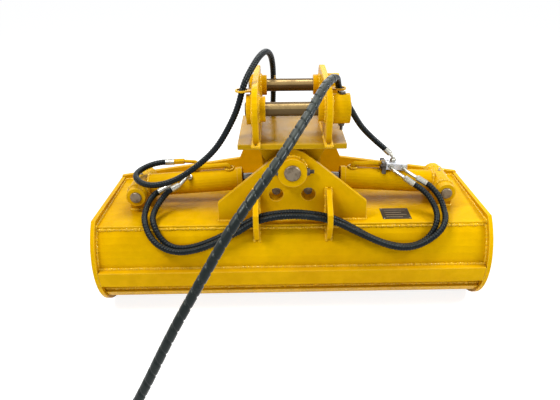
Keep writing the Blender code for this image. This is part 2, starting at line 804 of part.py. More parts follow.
def cross_bolt(shop, name, axis, place, reach, radius, tip, through, parent=None):
    """A bolt right through a collar and its pin, with its nut on the side where its tip stands out."""
    way = 1 if tip > 0 else -1
    deep = reach * 2
    drill = shop.shaft(f"{name}_drill", None, -deep, deep, radius + FIT, axis, place, parent, steps=BOLT_SIDES)
    for piece in through:
        shop.cut(piece, drill)
    head = radius * BOLT_HEAD_SHARE
    nut = reach + radius * BOLT_NUT_SHARE
    profile = [
        (nut + abs(tip), 0),
        (nut + abs(tip), radius),
        (nut, radius),
        (nut, head),
        (reach, head),
        (reach, radius),
        (-reach, radius),
        (-reach, head),
        (-reach - radius * BOLT_CAP_SHARE, head),
        (-reach - radius * BOLT_CAP_SHARE, 0),
    ]
    profile = [(height * way, width) for height, width in profile[::way]]
    shop.turned(name, "steel", profile, axis, place, parent, steps=BOLT_SIDES)


def hose_ribs(shop):
    """Upright ribs on the back, each with a window that the two cross hoses go through."""
    back = FRONT_HINGE_Y - SEAT
    gap_radius = SHELL_RADIUS + SEAT
    start = math.pi - math.asin((DECK_UNDER - BELLY_Z) / gap_radius)
    end = math.pi - math.asin((RIB_FOOT - BELLY_Z) / gap_radius)
    shell_side = arc((BELLY_Y, BELLY_Z), gap_radius, start, end, 5)
    outline = [
        (back, DECK_TOP + SEAT),
        (back, RIB_TOP),
        (back - RIB_SHELF, RIB_TOP),
        (-RIB_REACH, RIB_CHEEK_TOP),
        (-RIB_REACH, RIB_CHEEK_FOOT),
        *shell_side[::-1],
        (DECK_BACK - SEAT, DECK_TOP + SEAT),
    ]
    window = rounded_slot(*RIB_WINDOW, RIB_WINDOW_CORNER)
    for side, x in (("left", -RIB_X), ("right", RIB_X)):
        span = (x - RIB_THICKNESS / 2, x + RIB_THICKNESS / 2)
        shop.plate(f"hose_rib_{side}", "paint", outline, span, "YZ", holes=[window], bevel=0.0015)


def lugs(shop):
    """Pairs of lugs on the deck, each with a long boss, and the pins of the cylinders' base ends."""
    foot = DECK_TOP + SEAT
    for side, sign in (("left", -1), ("right", 1)):
        x = sign * BASE_PIN_X
        for end, way in (("back", -1), ("front", 1)):
            inner = CYLINDER_Y + way * LUG_INNER
            outer = inner + way * LUG_THICKNESS
            tip = outer + way * LUG_BOSS_LENGTH
            name = f"cylinder_lug_{side}_{end}"
            corners = [(x - LUG_HALF_FOOT, foot), (x + LUG_HALF_FOOT, foot)]
            outline = hull(circle((x, BASE_PIN_HEIGHT), LUG_RADIUS, ROUND) + corners)
            outline = [p for p in outline if p[1] >= foot - 1e-6]
            plate = shop.as_mesh(shop.plate(name, "paint", outline, sorted((inner, outer)), bevel=0.0015))
            low, high = sorted((outer - way * OVERLAP, tip))
            centre = (x, 0, BASE_PIN_HEIGHT)
            boss = shop.shaft(f"{name}_boss", None, low, high, LUG_BOSS_RADIUS, "Y", centre, chamfer=0.002)
            shop.join(plate, boss)
            low, high = sorted((inner - way * CUTTER_SPARE, tip + way * CUTTER_SPARE))
            drill = shop.shaft(f"{name}_drill", None, low, high, BASE_PIN_RADIUS + FIT, "Y", centre)
            shop.cut(plate, drill)
        half = LUG_INNER + LUG_THICKNESS + LUG_BOSS_LENGTH + BASE_PIN_STICK_OUT
        place = (x, CYLINDER_Y, BASE_PIN_HEIGHT)
        shop.shaft(f"cylinder_pin_{side}", "steel", -half, half, BASE_PIN_RADIUS, "Y", place, chamfer=0.002)


def cylinder_frame(shop, side, sign):
    """An empty on the base pin whose X runs along the cylinder towards the headstock."""
    frame = shop.empty(f"cylinder_axis_{side}", (sign * BASE_PIN_X, CYLINDER_Y, BASE_PIN_HEIGHT), shop.datum)
    frame.rotation_euler = (0, math.pi + REST_ANGLE if sign > 0 else -REST_ANGLE, 0)
    return frame


def in_frame(sign, point):
    """A point given from the datum, as the empty on that side's base pin sees it."""
    across = sign * BASE_PIN_X - point[0] if sign > 0 else point[0] + BASE_PIN_X
    rise = point[2] - BASE_PIN_HEIGHT
    along = across * math.cos(REST_ANGLE) + rise * math.sin(REST_ANGLE)
    lift = rise * math.cos(REST_ANGLE) - across * math.sin(REST_ANGLE)
    return (along, point[1] - CYLINDER_Y, -sign * lift)


def cylinder(shop, side, sign, frame):
    """Barrel with its base eye, gland, rod with its piston, and the rod's eye."""
    up = -sign
    profile = [
        (BARREL_BOTTOM, 0),
        (BARREL_BOTTOM, BORE_RADIUS),
        (BARREL_END, BORE_RADIUS),
        (BARREL_END, BARREL_RADIUS),
        (BARREL_START, BARREL_RADIUS),
        (BARREL_START, 0),
    ]
    barrel = shop.as_mesh(shop.turned(f"barrel_{side}", "paint", profile, "X", (0, 0, 0), frame))
    half = BASE_EYE_WIDTH / 2
    shop.join(barrel, shop.shaft(f"base_eye_{side}", None, -half, half, BASE_EYE_RADIUS, "Y", (0, 0, 0), frame, 0.002))
    port_top = BARREL_RADIUS + PORT_HEIGHT
    low, high = sorted((up * port_top, up * (BARREL_RADIUS - OVERLAP)))
    port = shop.shaft(f"port_{side}", None, low, high, PORT_RADIUS, "Z", (PIPE_PORT, 0, 0), frame)
    shop.join(barrel, port)
    reach = half + CUTTER_SPARE
    bore = shop.shaft(f"base_eye_bore_{side}", None, -reach, reach, BASE_PIN_RADIUS + FIT, "Y", (0, 0, 0), frame)
    shop.cut(barrel, bore)
    gland = BARREL_END + SEAT
    shop.ring(f"gland_{side}", "paint", gland, gland + GLAND_LENGTH, ROD_RADIUS + FIT, GLAND_RADIUS, "X", (0, 0, 0), frame)
    neck = REST_LENGTH - ROD_EYE_RADIUS - ROD_NECK_LENGTH
    piston = PISTON_STATION + PISTON_LENGTH / 2
    profile = [
        (neck - SEAT, 0),
        (neck - SEAT, ROD_RADIUS),
        (piston, ROD_RADIUS),
        (piston, BORE_RADIUS - FIT),
        (piston - PISTON_LENGTH, BORE_RADIUS - FIT),
        (piston - PISTON_LENGTH, 0),
    ]
    shop.turned(f"rod_{side}", "chrome", profile, "X", (0, 0, 0), frame)
    centre = (REST_LENGTH, 0, 0)
    half = ROD_EYE_WIDTH / 2
    eye = shop.as_mesh(shop.shaft(f"rod_eye_{side}", "paint", -half, half, ROD_EYE_RADIUS, "Y", centre, frame, 0.002))
    into = REST_LENGTH - ROD_EYE_RADIUS / 3
    shop.join(eye, shop.shaft(f"rod_neck_{side}", None, neck, into, ROD_NECK_RADIUS, "X", (0, 0, 0), frame))


def oil_pipe(shop, side, sign, frame, outer, offset):
    """The pipe that takes oil along the top of the barrel to its gland end, with its union nut."""
    up = -sign
    lift = up * PIPE_LIFT
    bend = arc((PIPE_PORT - PIPE_BEND, PIPE_LIFT - PIPE_BEND), PIPE_BEND, math.pi / 2, 0, 4)
    path = [
        (outer, offset, lift),
        (outer + PIPE_NUT_LENGTH, offset, lift),
        (outer + PIPE_NUT_LENGTH + 0.001, offset, lift),
        (PIPE_PORT - PIPE_SWEEP, offset, lift),
        (PIPE_PORT - PIPE_BEND * 2, 0, lift),
        *[(along, 0, up * height) for along, height in bend],
        (PIPE_PORT, 0, up * (BARREL_RADIUS + PORT_HEIGHT + SEAT)),
    ]
    nut = [PIPE_NUT_RADIUS] * 2
    shop.tube(f"oil_pipe_{side}", "paint", path, PIPE_RADIUS, frame, radii=nut + [PIPE_RADIUS] * (len(path) - 2))


def valve_block(shop, frame):
    """The square block on the right barrel that feeds both cross hoses."""
    size = (BLOCK_LENGTH, BLOCK_DEPTH, BLOCK_HEIGHT)
    shop.box("valve_block", "zinc", size, (BLOCK_STATION, BLOCK_OFFSET, -BLOCK_LIFT), frame, BLOCK_BEVEL)


def rounded(points, reach, count=4):
    """The same path with its corners rounded off."""
    path = [Vector(points[0])]
    for before, corner, after in zip(points, points[1:], points[2:]):
        before, corner, after = Vector(before), Vector(corner), Vector(after)
        short = min(reach, (corner - before).length * 0.48, (after - corner).length * 0.48)
        start = corner + (before - corner).normalized() * short
        end = corner + (after - corner).normalized() * short
        for k in range(count + 1):
            t = k / count
            path.append(start * (1 - t) ** 2 + corner * 2 * t * (1 - t) + end * t**2)
    path.append(Vector(points[-1]))
    return path


def hose_end(shop, name, sign, frame, points):
    """A crimped hose end: union nut on its port, thin bent stem, thick ferrule on the hose."""
    local = [Vector(in_frame(sign, p)) for p in points]
    nut_way = (local[1] - local[0]).normalized()
    ferrule_way = (local[-1] - local[-2]).normalized()
    nut_end = local[0] + nut_way * NUT_LENGTH
    stem = rounded([nut_end + nut_way * 0.001, *local[1:-1], local[-2] + ferrule_way * FERRULE_NECK], ELBOW_REACH)
    path = [local[0], nut_end, *stem, local[-2] + ferrule_way * (FERRULE_NECK + 0.001), local[-1]]
    radii = [NUT_RADIUS] * 2 + [ELBOW_RADIUS] * len(stem) + [FERRULE_RADIUS] * 2
    shop.tube(name, "zinc", path, ELBOW_RADIUS, frame, radii=radii)


def ferrule_exit(points):
    """Where a hose leaves its ferrule, and the way it points there."""
    return Vector(points[-1]), (Vector(points[-1]) - Vector(points[-2])).normalized()


def coupler_exit(points):
    """Where a supply hose meets its coupler, and the way the hose is seen from there."""
    return Vector(points[-1]), (Vector(points[-2]) - Vector(points[-1])).normalized()


def hose(shop, name, start, points, end, step, guarded=False):
    """A hose along the route that leaves both its fittings straight and a hair off their faces."""
    leads = [(place + way * SEAT, place + way * HOSE_LEAD) for place, way in (start, end)]
    route = smooth_route([leads[0][1], *points, leads[1][1]], step)
    path = [leads[0][0], *route, leads[1][0]]
    radii = [HOSE_RADIUS] * len(path)
    if guarded:
        radii = [GUARD_RADIUS if point.x < GUARD_START else HOSE_RADIUS for point in path]
        radii[-2:] = [HOSE_RADIUS] * 2
    shop.tube(name, "rubber", path, HOSE_RADIUS, radii=radii)


def coupler(shop, name, points):
    """The quick coupler on a supply hose's free end."""
    end = Vector(points[-1])
    way = (end - Vector(points[-2])).normalized()
    stations = [
        (0, FERRULE_RADIUS),
        (0.030, FERRULE_RADIUS),
        (0.031, COUPLER_BODY_RADIUS),
        (0.048, COUPLER_BODY_RADIUS),
        (0.049, COUPLER_RADIUS),
        (COUPLER_LENGTH, COUPLER_RADIUS),
    ]
    path = [end + way * at for at, _ in stations]
    shop.tube(name, "zinc", path, ELBOW_RADIUS, resolution=4, radii=[radius for _, radius in stations])


def hydraulics(shop):
    """Both cylinders with their pipes, and the four hoses with everything on their ends."""
    frames = {}
    for side, sign in (("left", -1), ("right", 1)):
        frames[side] = cylinder_frame(shop, side, sign)
        cylinder(shop, side, sign, frames[side])
    oil_pipe(shop, "left", -1, frames["left"], PIPE_OUTER_LEFT, 0)
    oil_pipe(shop, "right", 1, frames["right"], PIPE_OUTER_RIGHT, PIPE_RIGHT_OFFSET)
    valve_block(shop, frames["right"])
    for name, points in HOSE_ENDS.items():
        side = name.split("_")[-1]
        hose_end(shop, name, 1 if side == "right" else -1, frames[side], points)
    exits = {name: ferrule_exit(points) for name, points in HOSE_ENDS.items()}
    for name, points in (("low", CROSS_HOSE_LOW), ("high", CROSS_HOSE_HIGH)):
        start, end = exits[f"{name}_hose_end_left"], exits[f"{name}_hose_end_right"]
        hose(shop, f"cross_hose_{name}", start, points, end, CROSS_HOSE_STEP)
    for side, points in (("left", SUPPLY_HOSE_LEFT), ("right", SUPPLY_HOSE_RIGHT)):
        start, end = exits[f"supply_hose_end_{side}"], coupler_exit(points)
        hose(shop, f"supply_hose_{side}", start, points[:-1], end, SUPPLY_HOSE_STEP, side == "right")
    coupler(shop, "coupler_left", SUPPLY_HOSE_LEFT)
    coupler(shop, "coupler_right", SUPPLY_HOSE_RIGHT)


def headstock(shop):
    """The part that the digger carries: it swings on the tilt pin."""
    axis = shop.empty("tilt_axis", (0, 0, TILT_PIN_HEIGHT), shop.datum)
    depth = BASE_FRONT - BASE_BACK
    size = (BASE_HALF_WIDTH * 2, depth, BASE_THICKNESS)
    middle = (0, (BASE_BACK + BASE_FRONT) / 2, HINGE_APEX_RADIUS + BASE_TO_HINGE + BASE_THICKNESS / 2)
    shop.box("headstock_base", "paint", size, middle, axis, 0.002)
    top = HINGE_APEX_RADIUS + BASE_TO_HINGE - SEAT
    tube = shop.as_mesh(
        shop.ring(
            "pivot_tube", "paint", PIVOT_BACK, PIVOT_FRONT, TILT_PIN_RADIUS + FIT, PIVOT_TUBE_RADIUS, "Y", (0, 0, 0), axis
        )
    )
    for end, y in (("back", SADDLE_BACK_Y), ("front", SADDLE_FRONT_Y)):
        corners = [(-SADDLE_HALF_TOP, top), (SADDLE_HALF_TOP, top)]
        outline = hull(circle((0, 0), SADDLE_HUG, ROUND) + corners)
        hole = circle((0, 0), PIVOT_TUBE_RADIUS - OVERLAP, ROUND)
        span = (y, y + SADDLE_THICKNESS)
        saddle = shop.as_mesh(shop.plate(f"saddle_{end}", None, outline, span, holes=[hole], parent=axis))
        shop.join(tube, saddle)
    hole = circle((0, 0), PIVOT_TUBE_RADIUS + FIT, ROUND)
    lobes = [(sign * ROD_PIN_X, -ROD_PIN_DROP) for sign in (-1, 1)]
    for end, way in (("back", -1), ("front", 1)):
        inner = CYLINDER_Y + way * CLEVIS_INNER
        outer = inner + way * CLEVIS_THICKNESS
        corners = [(-CLEVIS_HALF_TOP, top), (CLEVIS_HALF_TOP, top)]
        outline = hull([p for lobe in lobes for p in circle(lobe, CLEVIS_LOBE)] + corners)
        span = sorted((inner, outer))
        name = f"rod_clevis_{end}"
        clevis = shop.as_mesh(shop.plate(name, "paint", outline, span, holes=[hole], parent=axis))
        for k, lobe in enumerate(lobes):
            low, high = sorted((outer - way * OVERLAP, outer + way * PIN_CAP_LENGTH))
            place = (lobe[0], 0, lobe[1])
            shop.join(clevis, shop.shaft(f"{name}_cap_{k}", None, low, high, ROD_PIN_RADIUS, "Y", place, axis, 0.002))
    ears(shop, axis)


def hitch_pin_place(pin):
    """A digger pin's place as the tilt axis sees it."""
    return (0, pin[0], pin[1] - TILT_PIN_HEIGHT)


def ears(shop, axis):
    """Two upright ears with a boss round each of the digger's two pins."""
    foot = BASE_TOP + SEAT - TILT_PIN_HEIGHT
    near, far = hitch_pin_place(NEAR_PIN), hitch_pin_place(FAR_PIN)
    corners = [(BASE_BACK + EAR_INSET, foot), (BASE_FRONT - EAR_INSET, foot)]
    outline = hull(circle(near[1:], NEAR_LOBE, ROUND) + circle(far[1:], FAR_LOBE, ROUND) + corners)
    holes = [circle(near[1:], NEAR_BOSS_RADIUS + SEAT, ROUND), circle(far[1:], FAR_BOSS_RADIUS + SEAT, ROUND)]
    bosses = {}
    for side, sign, near_end, far_end in (
        ("left", -1, LEFT_COLLAR_END, LEFT_COLLAR_END),
        ("right", 1, RIGHT_COLLAR_END, RIGHT_FAR_COLLAR_END),
    ):
        span = sorted((sign * EAR_INNER_X, sign * EAR_OUTER_X))
        shop.plate(f"ear_{side}", "paint", outline, span, "YZ", holes=holes, bevel=0.002, parent=axis)
        for name, place, radius, collar, end in (
            ("near", near, NEAR_BOSS_RADIUS, NEAR_COLLAR_RADIUS, near_end),
            ("far", far, FAR_BOSS_RADIUS, FAR_COLLAR_RADIUS, far_end),
        ):
            step = EAR_OUTER_X + SEAT
            profile = [
                (end, collar),
                (step, collar),
                (step, radius),
                (BOSS_INNER_X, radius),
                (BOSS_INNER_X, HITCH_PIN_RADIUS + FIT),
                (end, HITCH_PIN_RADIUS + FIT),
            ]
            if sign < 0:
                profile = [(-at, radius) for at, radius in profile[::-1]]
            bosses[name, side] = shop.turned(f"{name}_boss_{side}", "paint", profile, "X", place, axis, closed=True)
    left = -LEFT_COLLAR_END - HITCH_PIN_STICK_OUT
    right = RIGHT_COLLAR_END + HITCH_PIN_STICK_OUT
    pin = shop.shaft("near_pin", "steel", left, right, HITCH_PIN_RADIUS, "X", near, axis, 0.003)
    right = RIGHT_FAR_COLLAR_END + HITCH_PIN_STICK_OUT
    shop.shaft("far_pin", "steel", left, right, HITCH_PIN_RADIUS, "X", far, axis, 0.003)
    place = (LOCK_BOLT_X, near[1], near[2])
    through = (bosses["near", "right"], pin)
    reach = NEAR_COLLAR_RADIUS + SEAT
    cross_bolt(shop, "near_pin_bolt", "Z", place, reach, LOCK_BOLT_RADIUS, -LOCK_BOLT_TIP, through, axis)
    for side, sign, (x, y, z) in (("left", -1, LEFT_GUIDE), ("right", 1, RIGHT_GUIDE)):
        root = sign * (EAR_OUTER_X + SEAT)
        half = GUIDE_RADIUS * 0.6
        ear_side = [(root, y - half), (root, y + half)]
        outline = hull(circle((x, y), GUIDE_RADIUS, GUIDE_SIDES) + ear_side)
        middle = z - TILT_PIN_HEIGHT
        span = (middle - GUIDE_THICKNESS / 2, middle + GUIDE_THICKNESS / 2)
        hole = circle((x, y), GUIDE_HOLE, GUIDE_SIDES)
        shop.plate(f"hose_guide_{side}", "paint", outline, span, "XY", holes=[hole], parent=axis)


def build():
    clear_scene()
    shop = Workshop()
    side_plates(shop)
    shell(shop)
    deck(shop)
    cutting_edge(shop)
    heel_plates(shop)
    hinge_plates(shop)
    tilt_pin(shop)
    hose_ribs(shop)
    lugs(shop)
    headstock(shop)
    hydraulics(shop)


build()
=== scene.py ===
"""Looks of the tilt bucket: paint, bare metal, hoses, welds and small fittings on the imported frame."""

import logging
import math
from dataclasses import dataclass
from enum import Enum
from typing import Dict, List, Optional, Sequence, Tuple

import bmesh
import bpy
from mathutils import Matrix, Vector


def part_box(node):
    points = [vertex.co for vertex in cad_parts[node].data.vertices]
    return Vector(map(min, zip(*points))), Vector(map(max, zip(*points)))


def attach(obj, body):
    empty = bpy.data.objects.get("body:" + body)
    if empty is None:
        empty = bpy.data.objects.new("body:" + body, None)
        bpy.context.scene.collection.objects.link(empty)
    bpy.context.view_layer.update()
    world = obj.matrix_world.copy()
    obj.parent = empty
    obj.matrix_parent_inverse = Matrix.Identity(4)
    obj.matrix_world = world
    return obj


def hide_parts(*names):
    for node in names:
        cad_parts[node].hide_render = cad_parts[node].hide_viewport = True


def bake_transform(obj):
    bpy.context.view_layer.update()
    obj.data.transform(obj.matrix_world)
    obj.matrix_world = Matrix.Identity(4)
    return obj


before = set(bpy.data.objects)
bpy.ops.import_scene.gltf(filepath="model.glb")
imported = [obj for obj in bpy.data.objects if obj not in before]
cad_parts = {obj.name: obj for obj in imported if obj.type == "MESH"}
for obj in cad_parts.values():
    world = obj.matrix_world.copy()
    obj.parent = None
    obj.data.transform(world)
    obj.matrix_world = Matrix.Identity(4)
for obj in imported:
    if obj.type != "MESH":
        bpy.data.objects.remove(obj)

logging.basicConfig(level=logging.INFO, format="%(name)s: %(message)s")
LOG = logging.getLogger("tilt_bucket")

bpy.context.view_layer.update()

# The datum that part.py draws from: the top back corner of the side plates
DATUM = Vector((0.0, -0.265, 0.410))

Point = Tuple[float, float, float]
Colour = Tuple[float, float, float, float]


class Body(str, Enum):
    """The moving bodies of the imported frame."""

    BUCKET = "bucket"
    HEADSTOCK = "headstock"
    CYLINDER_LEFT = "cylinder_left"
    CYLINDER_RIGHT = "cylinder_right"
    ROD_LEFT = "rod_left"
    ROD_RIGHT = "rod_right"


class Slot(str, Enum):
    """The record's material slots."""

    PAINT = "paint"
    STEEL = "steel"
    CHROME = "chrome"
    ZINC = "zinc"
    RUBBER = "rubber"


def at(point: Sequence[float]) -> Vector:
    """Turns a point given from the datum into a place in the frame.

    Args:
        point: X, Y and Z from the datum, in metres.

    Returns:
        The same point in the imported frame.
    """
    return DATUM + Vector(point)


# The hoses' routes from the datum, the same points that part.py has
CROSS_HOSE_LOW: List[Point] = [
    (-0.546, 0.082, 0.043), (-0.558, 0.050, 0.016), (-0.558, 0.018, 0.002), (-0.553, -0.013, -0.001),
    (-0.541, -0.039, -0.028), (-0.521, -0.066, -0.052), (-0.485, -0.083, -0.078), (-0.431, -0.090, -0.096),
    (-0.375, -0.089, -0.092), (-0.319, -0.084, -0.078), (-0.257, -0.074, -0.052), (-0.191, -0.067, -0.022),
    (-0.152, -0.060, 0.004), (-0.072, -0.058, 0.026), (0.000, -0.058, 0.031), (0.067, -0.058, 0.026),
    (0.135, -0.058, 0.011), (0.178, -0.062, -0.005), (0.214, -0.066, -0.024), (0.252, -0.069, -0.042),
    (0.306, -0.079, -0.066), (0.362, -0.086, -0.085), (0.417, -0.089, -0.093), (0.472, -0.085, -0.082),
    (0.515, -0.076, -0.059), (0.554, -0.062, -0.029), (0.573, -0.026, 0.003), (0.577, 0.016, 0.004),
    (0.573, 0.045, 0.034), (0.553, 0.070, 0.063),
]
CROSS_HOSE_HIGH: List[Point] = [
    (-0.494, 0.085, 0.050), (-0.518, 0.052, 0.022), (-0.527, 0.018, 0.003), (-0.522, -0.013, -0.001),
    (-0.511, -0.034, -0.026), (-0.498, -0.045, -0.052), (-0.475, -0.055, -0.076), (-0.435, -0.063, -0.094),
    (-0.379, -0.062, -0.091), (-0.323, -0.056, -0.076), (-0.260, -0.044, -0.052), (-0.208, -0.042, -0.022),
    (-0.135, -0.031, 0.013), (-0.072, -0.031, 0.028), (0.000, -0.031, 0.034), (0.068, -0.031, 0.027),
    (0.135, -0.031, 0.013), (0.179, -0.035, -0.004), (0.216, -0.038, -0.025), (0.255, -0.043, -0.048),
    (0.310, -0.055, -0.074), (0.367, -0.062, -0.092), (0.423, -0.065, -0.100), (0.478, -0.061, -0.089),
    (0.510, -0.052, -0.068), (0.531, -0.044, -0.038), (0.543, -0.019, -0.003), (0.548, 0.017, 0.005),
    (0.534, 0.050, 0.038), (0.505, 0.078, 0.067),
]
SUPPLY_HOSE_LEFT: List[Point] = [
    (-0.553, 0.235, 0.128), (-0.588, 0.210, 0.120), (-0.609, 0.165, 0.115), (-0.594, 0.110, 0.111),
    (-0.540, 0.070, 0.104), (-0.458, 0.052, 0.124), (-0.380, 0.052, 0.166), (-0.283, 0.056, 0.248),
    (-0.217, 0.060, 0.350), (-0.186, 0.062, 0.420), (-0.174, 0.062, 0.465), (-0.159, 0.078, 0.502),
    (-0.139, 0.112, 0.532), (-0.117, 0.170, 0.558), (-0.092, 0.243, 0.567), (-0.075, 0.308, 0.541),
    (-0.068, 0.358, 0.492), (-0.067, 0.405, 0.430), (-0.069, 0.433, 0.354), (-0.072, 0.456, 0.295),
    (-0.080, 0.488, 0.230), (-0.092, 0.518, 0.160), (-0.108, 0.552, 0.070), (-0.125, 0.586, -0.030),
    (-0.142, 0.621, -0.140), (-0.162, 0.656, -0.264), (-0.190, 0.690, -0.352), (-0.234, 0.722, -0.390),
    (-0.300, 0.752, -0.3980), (-0.380, 0.772, -0.3960), (-0.460, 0.775, -0.3880),
]
SUPPLY_HOSE_RIGHT: List[Point] = [
    (0.347, 0.228, 0.207), (0.307, 0.215, 0.246), (0.274, 0.196, 0.284), (0.249, 0.176, 0.322),
    (0.225, 0.153, 0.364), (0.172, 0.125, 0.455), (0.167, 0.104, 0.485), (0.157, 0.062, 0.508),
    (0.137, 0.000, 0.519), (0.111, -0.065, 0.515), (0.086, -0.130, 0.500), (0.057, -0.198, 0.472),
    (0.012, -0.280, 0.431), (-0.037, -0.360, 0.382), (-0.091, -0.430, 0.328), (-0.145, -0.480, 0.268),
    (-0.193, -0.515, 0.206), (-0.238, -0.545, 0.136), (-0.294, -0.570, 0.045), (-0.342, -0.590, -0.036),
    (-0.388, -0.602, -0.122), (-0.426, -0.611, -0.197), (-0.464, -0.617, -0.270), (-0.503, -0.622, -0.337),
    (-0.548, -0.626, -0.380), (-0.608, -0.630, -0.3940), (-0.678, -0.630, -0.3935), (-0.753, -0.622, -0.3880),
]
HOSE_ENDS: Dict[str, List[Point]] = {
    "low_hose_end_left": [
        (-0.4380, 0.1664, 0.0919), (-0.4400, 0.1530, 0.1055), (-0.4550, 0.1340, 0.0980),
        (-0.4740, 0.1200, 0.0800), (-0.5160, 0.1100, 0.0600),
    ],
    "high_hose_end_left": [
        (-0.4010, 0.1666, 0.0941), (-0.4020, 0.1530, 0.1079), (-0.4150, 0.1280, 0.1020),
        (-0.4320, 0.1130, 0.0866), (-0.4630, 0.0920, 0.0760),
    ],
    "supply_hose_end_left": [
        (-0.3790, 0.2262, 0.0998), (-0.3800, 0.2430, 0.1300), (-0.4280, 0.2400, 0.1350),
        (-0.5050, 0.2400, 0.1320),
    ],
    "high_hose_end_right": [
        (0.3980, 0.1857, 0.1204), (0.3980, 0.1550, 0.1204), (0.4370, 0.1180, 0.1030),
        (0.4750, 0.1000, 0.0810),
    ],
    "low_hose_end_right": [
        (0.4480, 0.1857, 0.1170), (0.4480, 0.1550, 0.1170), (0.4840, 0.1200, 0.1030),
        (0.5230, 0.1000, 0.0830),
    ],
    "supply_hose_end_right": [
        (0.4082, 0.2120, 0.1342), (0.4092, 0.2120, 0.1520), (0.4000, 0.2170, 0.1620),
        (0.3780, 0.2270, 0.1800),
    ],
}

# Lengths are in metres, angles in radians unless said, places and heights from the datum

# Hoses
HOSE_RADIUS = 0.0115
GUARD_RADIUS = 0.0150
GUARD_START = 0.140  # How far from the middle the guard begins
LEFT_GUIDE = (-0.174, 0.062, 0.465)
FERRULE_RADIUS = 0.0125
SEAT = 0.0003  # Gap between a fitting and its hose
HOSE_LEAD = 0.012  # Straight length past a fitting
SMOOTH_STEPS = 12  # Steps between two points of a route
CROSS_MIDDLE = 13  # The cross hoses' point where their halves meet
ROOT_END_LEFT = (-0.380, 0.052, 0.166)
SHORTEST_CORD = 12.1 * HOSE_RADIUS  # A little over six diameters
GUARD_LOW = 0.40  # The guard begins above this height
RELAX_ROUNDS = 14

# Cylinders
BASE_PIN_X = 0.600
BASE_PIN_HEIGHT = 0.048
CYLINDER_Y = 0.200
ROD_PIN_X = 0.060
ROD_PIN_HEIGHT = 0.083
REST_ANGLE = math.atan2(ROD_PIN_HEIGHT - BASE_PIN_HEIGHT, BASE_PIN_X - ROD_PIN_X)
BARREL_RADIUS = 0.045

# Bucket and headstock
SHELL_RADIUS = 0.216
SIDE_START = 180.0  # Degrees
SIDE_ARC = 146.0  # Degrees
SIDE_STEPS = 24
RIB_STEPS = 8
HEEL_ANGLE = math.radians(12.5)
HEEL_HALF = 0.035
STRIP_ANGLE = math.radians(41)
STRIP_HALF = 0.025
LUG_THICKNESS = 0.022
LUG_HALF_FOOT = 0.035
LUG_BOSS_RADIUS = 0.0375
NEAR_BOSS_RADIUS = 0.045
FAR_BOSS_RADIUS = 0.040
NEAR_COLLAR_RADIUS = 0.0535
FAR_COLLAR_RADIUS = 0.0445
SADDLE_FACES = (0.050, 0.070)
SADDLE_HALF_TOP = 0.126
CLEVIS_FACES = (0.1495, 0.2505)
CLEVIS_HALF_TOP = 0.116

# Fittings
BARREL_START = 0.0345
PIPE_PORT = 0.358
PORT_RADIUS = 0.016
TILT_BOLT = 0.0075
LOCK_BOLT = 0.0060
NUT_RADIUS = 0.0125
NUT_LENGTH = 0.012
ELBOW_RADIUS = 0.0070
ELBOW_REACH = 0.016
COUPLER_BODY = 0.0183
COUPLER_SLEEVE = 0.0213
BLOCK_START = 0.141
BLOCK_LENGTH = 0.086
BLOCK_DEPTH = 0.052
BLOCK_HEIGHT = 0.0286
BLOCK_ACROSS = 0.012
PIPE_ACROSS = 0.010
PIPE_LIFT = 0.0615
GLAND_END = 0.4063
UNION_STATION = {"left": 0.212, "right": 0.2285}
NAMEPLATE = (0.346, 0.456, 0.013, 0.104)  # Left, right, back and front edge
PIN_TAIL = 0.088
PLATE_THICKNESS = 0.0012
PLATE_LINES = 4
LINE_HEIGHT = 0.0045
LINE_RELIEF = 0.0003
LINE_LIFT = 0.00135
RIVET_INSET = 0.006
CLAMP_WIDTH = 0.0130
WASHER_HEIGHT = 0.14  # A share of the bolt head's radius
WASHER_SPREAD = 1.15
TILT_HEAD = TILT_BOLT * 1.85
LOCK_HEAD = LOCK_BOLT * 1.9
PIN_NIPPLES = ((0.072, 0.060, 0.398 + 0.0248), (-0.060, 0.362, 0.412 + 0.0248))

# Height and radius of the turned fittings, from one end to the other
COUPLER_FERRULE = ((0, FERRULE_RADIUS * 0.94), (0.001, FERRULE_RADIUS), (0.016, FERRULE_RADIUS * 0.97))
COUPLER_HEXAGON = ((0.016, 0.0150), (0.0175, 0.0168), (0.0295, 0.0168), (0.031, 0.0150))
PLUG = ((0, 0.0046), (0.0006, 0.0046), (0.0010, 0.0040), (0.0010, 0.0024), (0.0003, 0.0020))
GLAND_LIP = ((0, 0.040), (0.0012, 0.040), (0.0020, 0.038))
UNION_HEXAGON = ((0, 0.0120), (0.0012, 0.0142), (0.0165, 0.0142), (0.0180, 0.0120))
UNION_NECK = ((0.018, 0.0118), (0.024, 0.0108))
WIPER = ((0, 0.0285), (0.0020, 0.0272), (0.0034, 0.0222))
NIPPLE_HEXAGON = ((0, 0.0052), (0.0045, 0.0052))
NIPPLE_HEAD = (
    (0.0045, 0.0040), (0.0085, 0.0024), (0.0095, 0.0024), (0.0108, 0.0034), (0.0130, 0.0034), (0.0142, 0.0018),
)
PIN_END_TURNING = ((0, 0.0165), (PIN_TAIL - 0.0015, 0.0165), (PIN_TAIL, 0.0150))
PIN_END_CENTRE = ((0, 0.0055), (0.0006, 0.0050))
RIVET = ((0, 0.0030), (0.0006, 0.0029), (0.0012, 0.0020), (0.0015, 0.0008))

UP = Vector((0, 0, 1))
ACROSS = Vector((1, 0, 0))
TO_MOUTH = Vector((0, 1, 0))

# Backdrop and floor
WHITE: Colour = (1, 1, 1, 1)
SKY_COLOUR: Colour = (0.93, 0.96, 1.0, 1)
SKY_LEVEL = 0.34
FLOOR_SIZE = 14.0
FLOOR_HEIGHT = -0.0004
FLOOR_COLOUR: Colour = (0.92, 0.92, 0.915, 1)
FLOOR_GLOW = 1.42
FLOOR_GLOW_SHARE = 0.62
LAMP_AIM = Vector((0.0, 0.0, 0.35))


# Camera and light


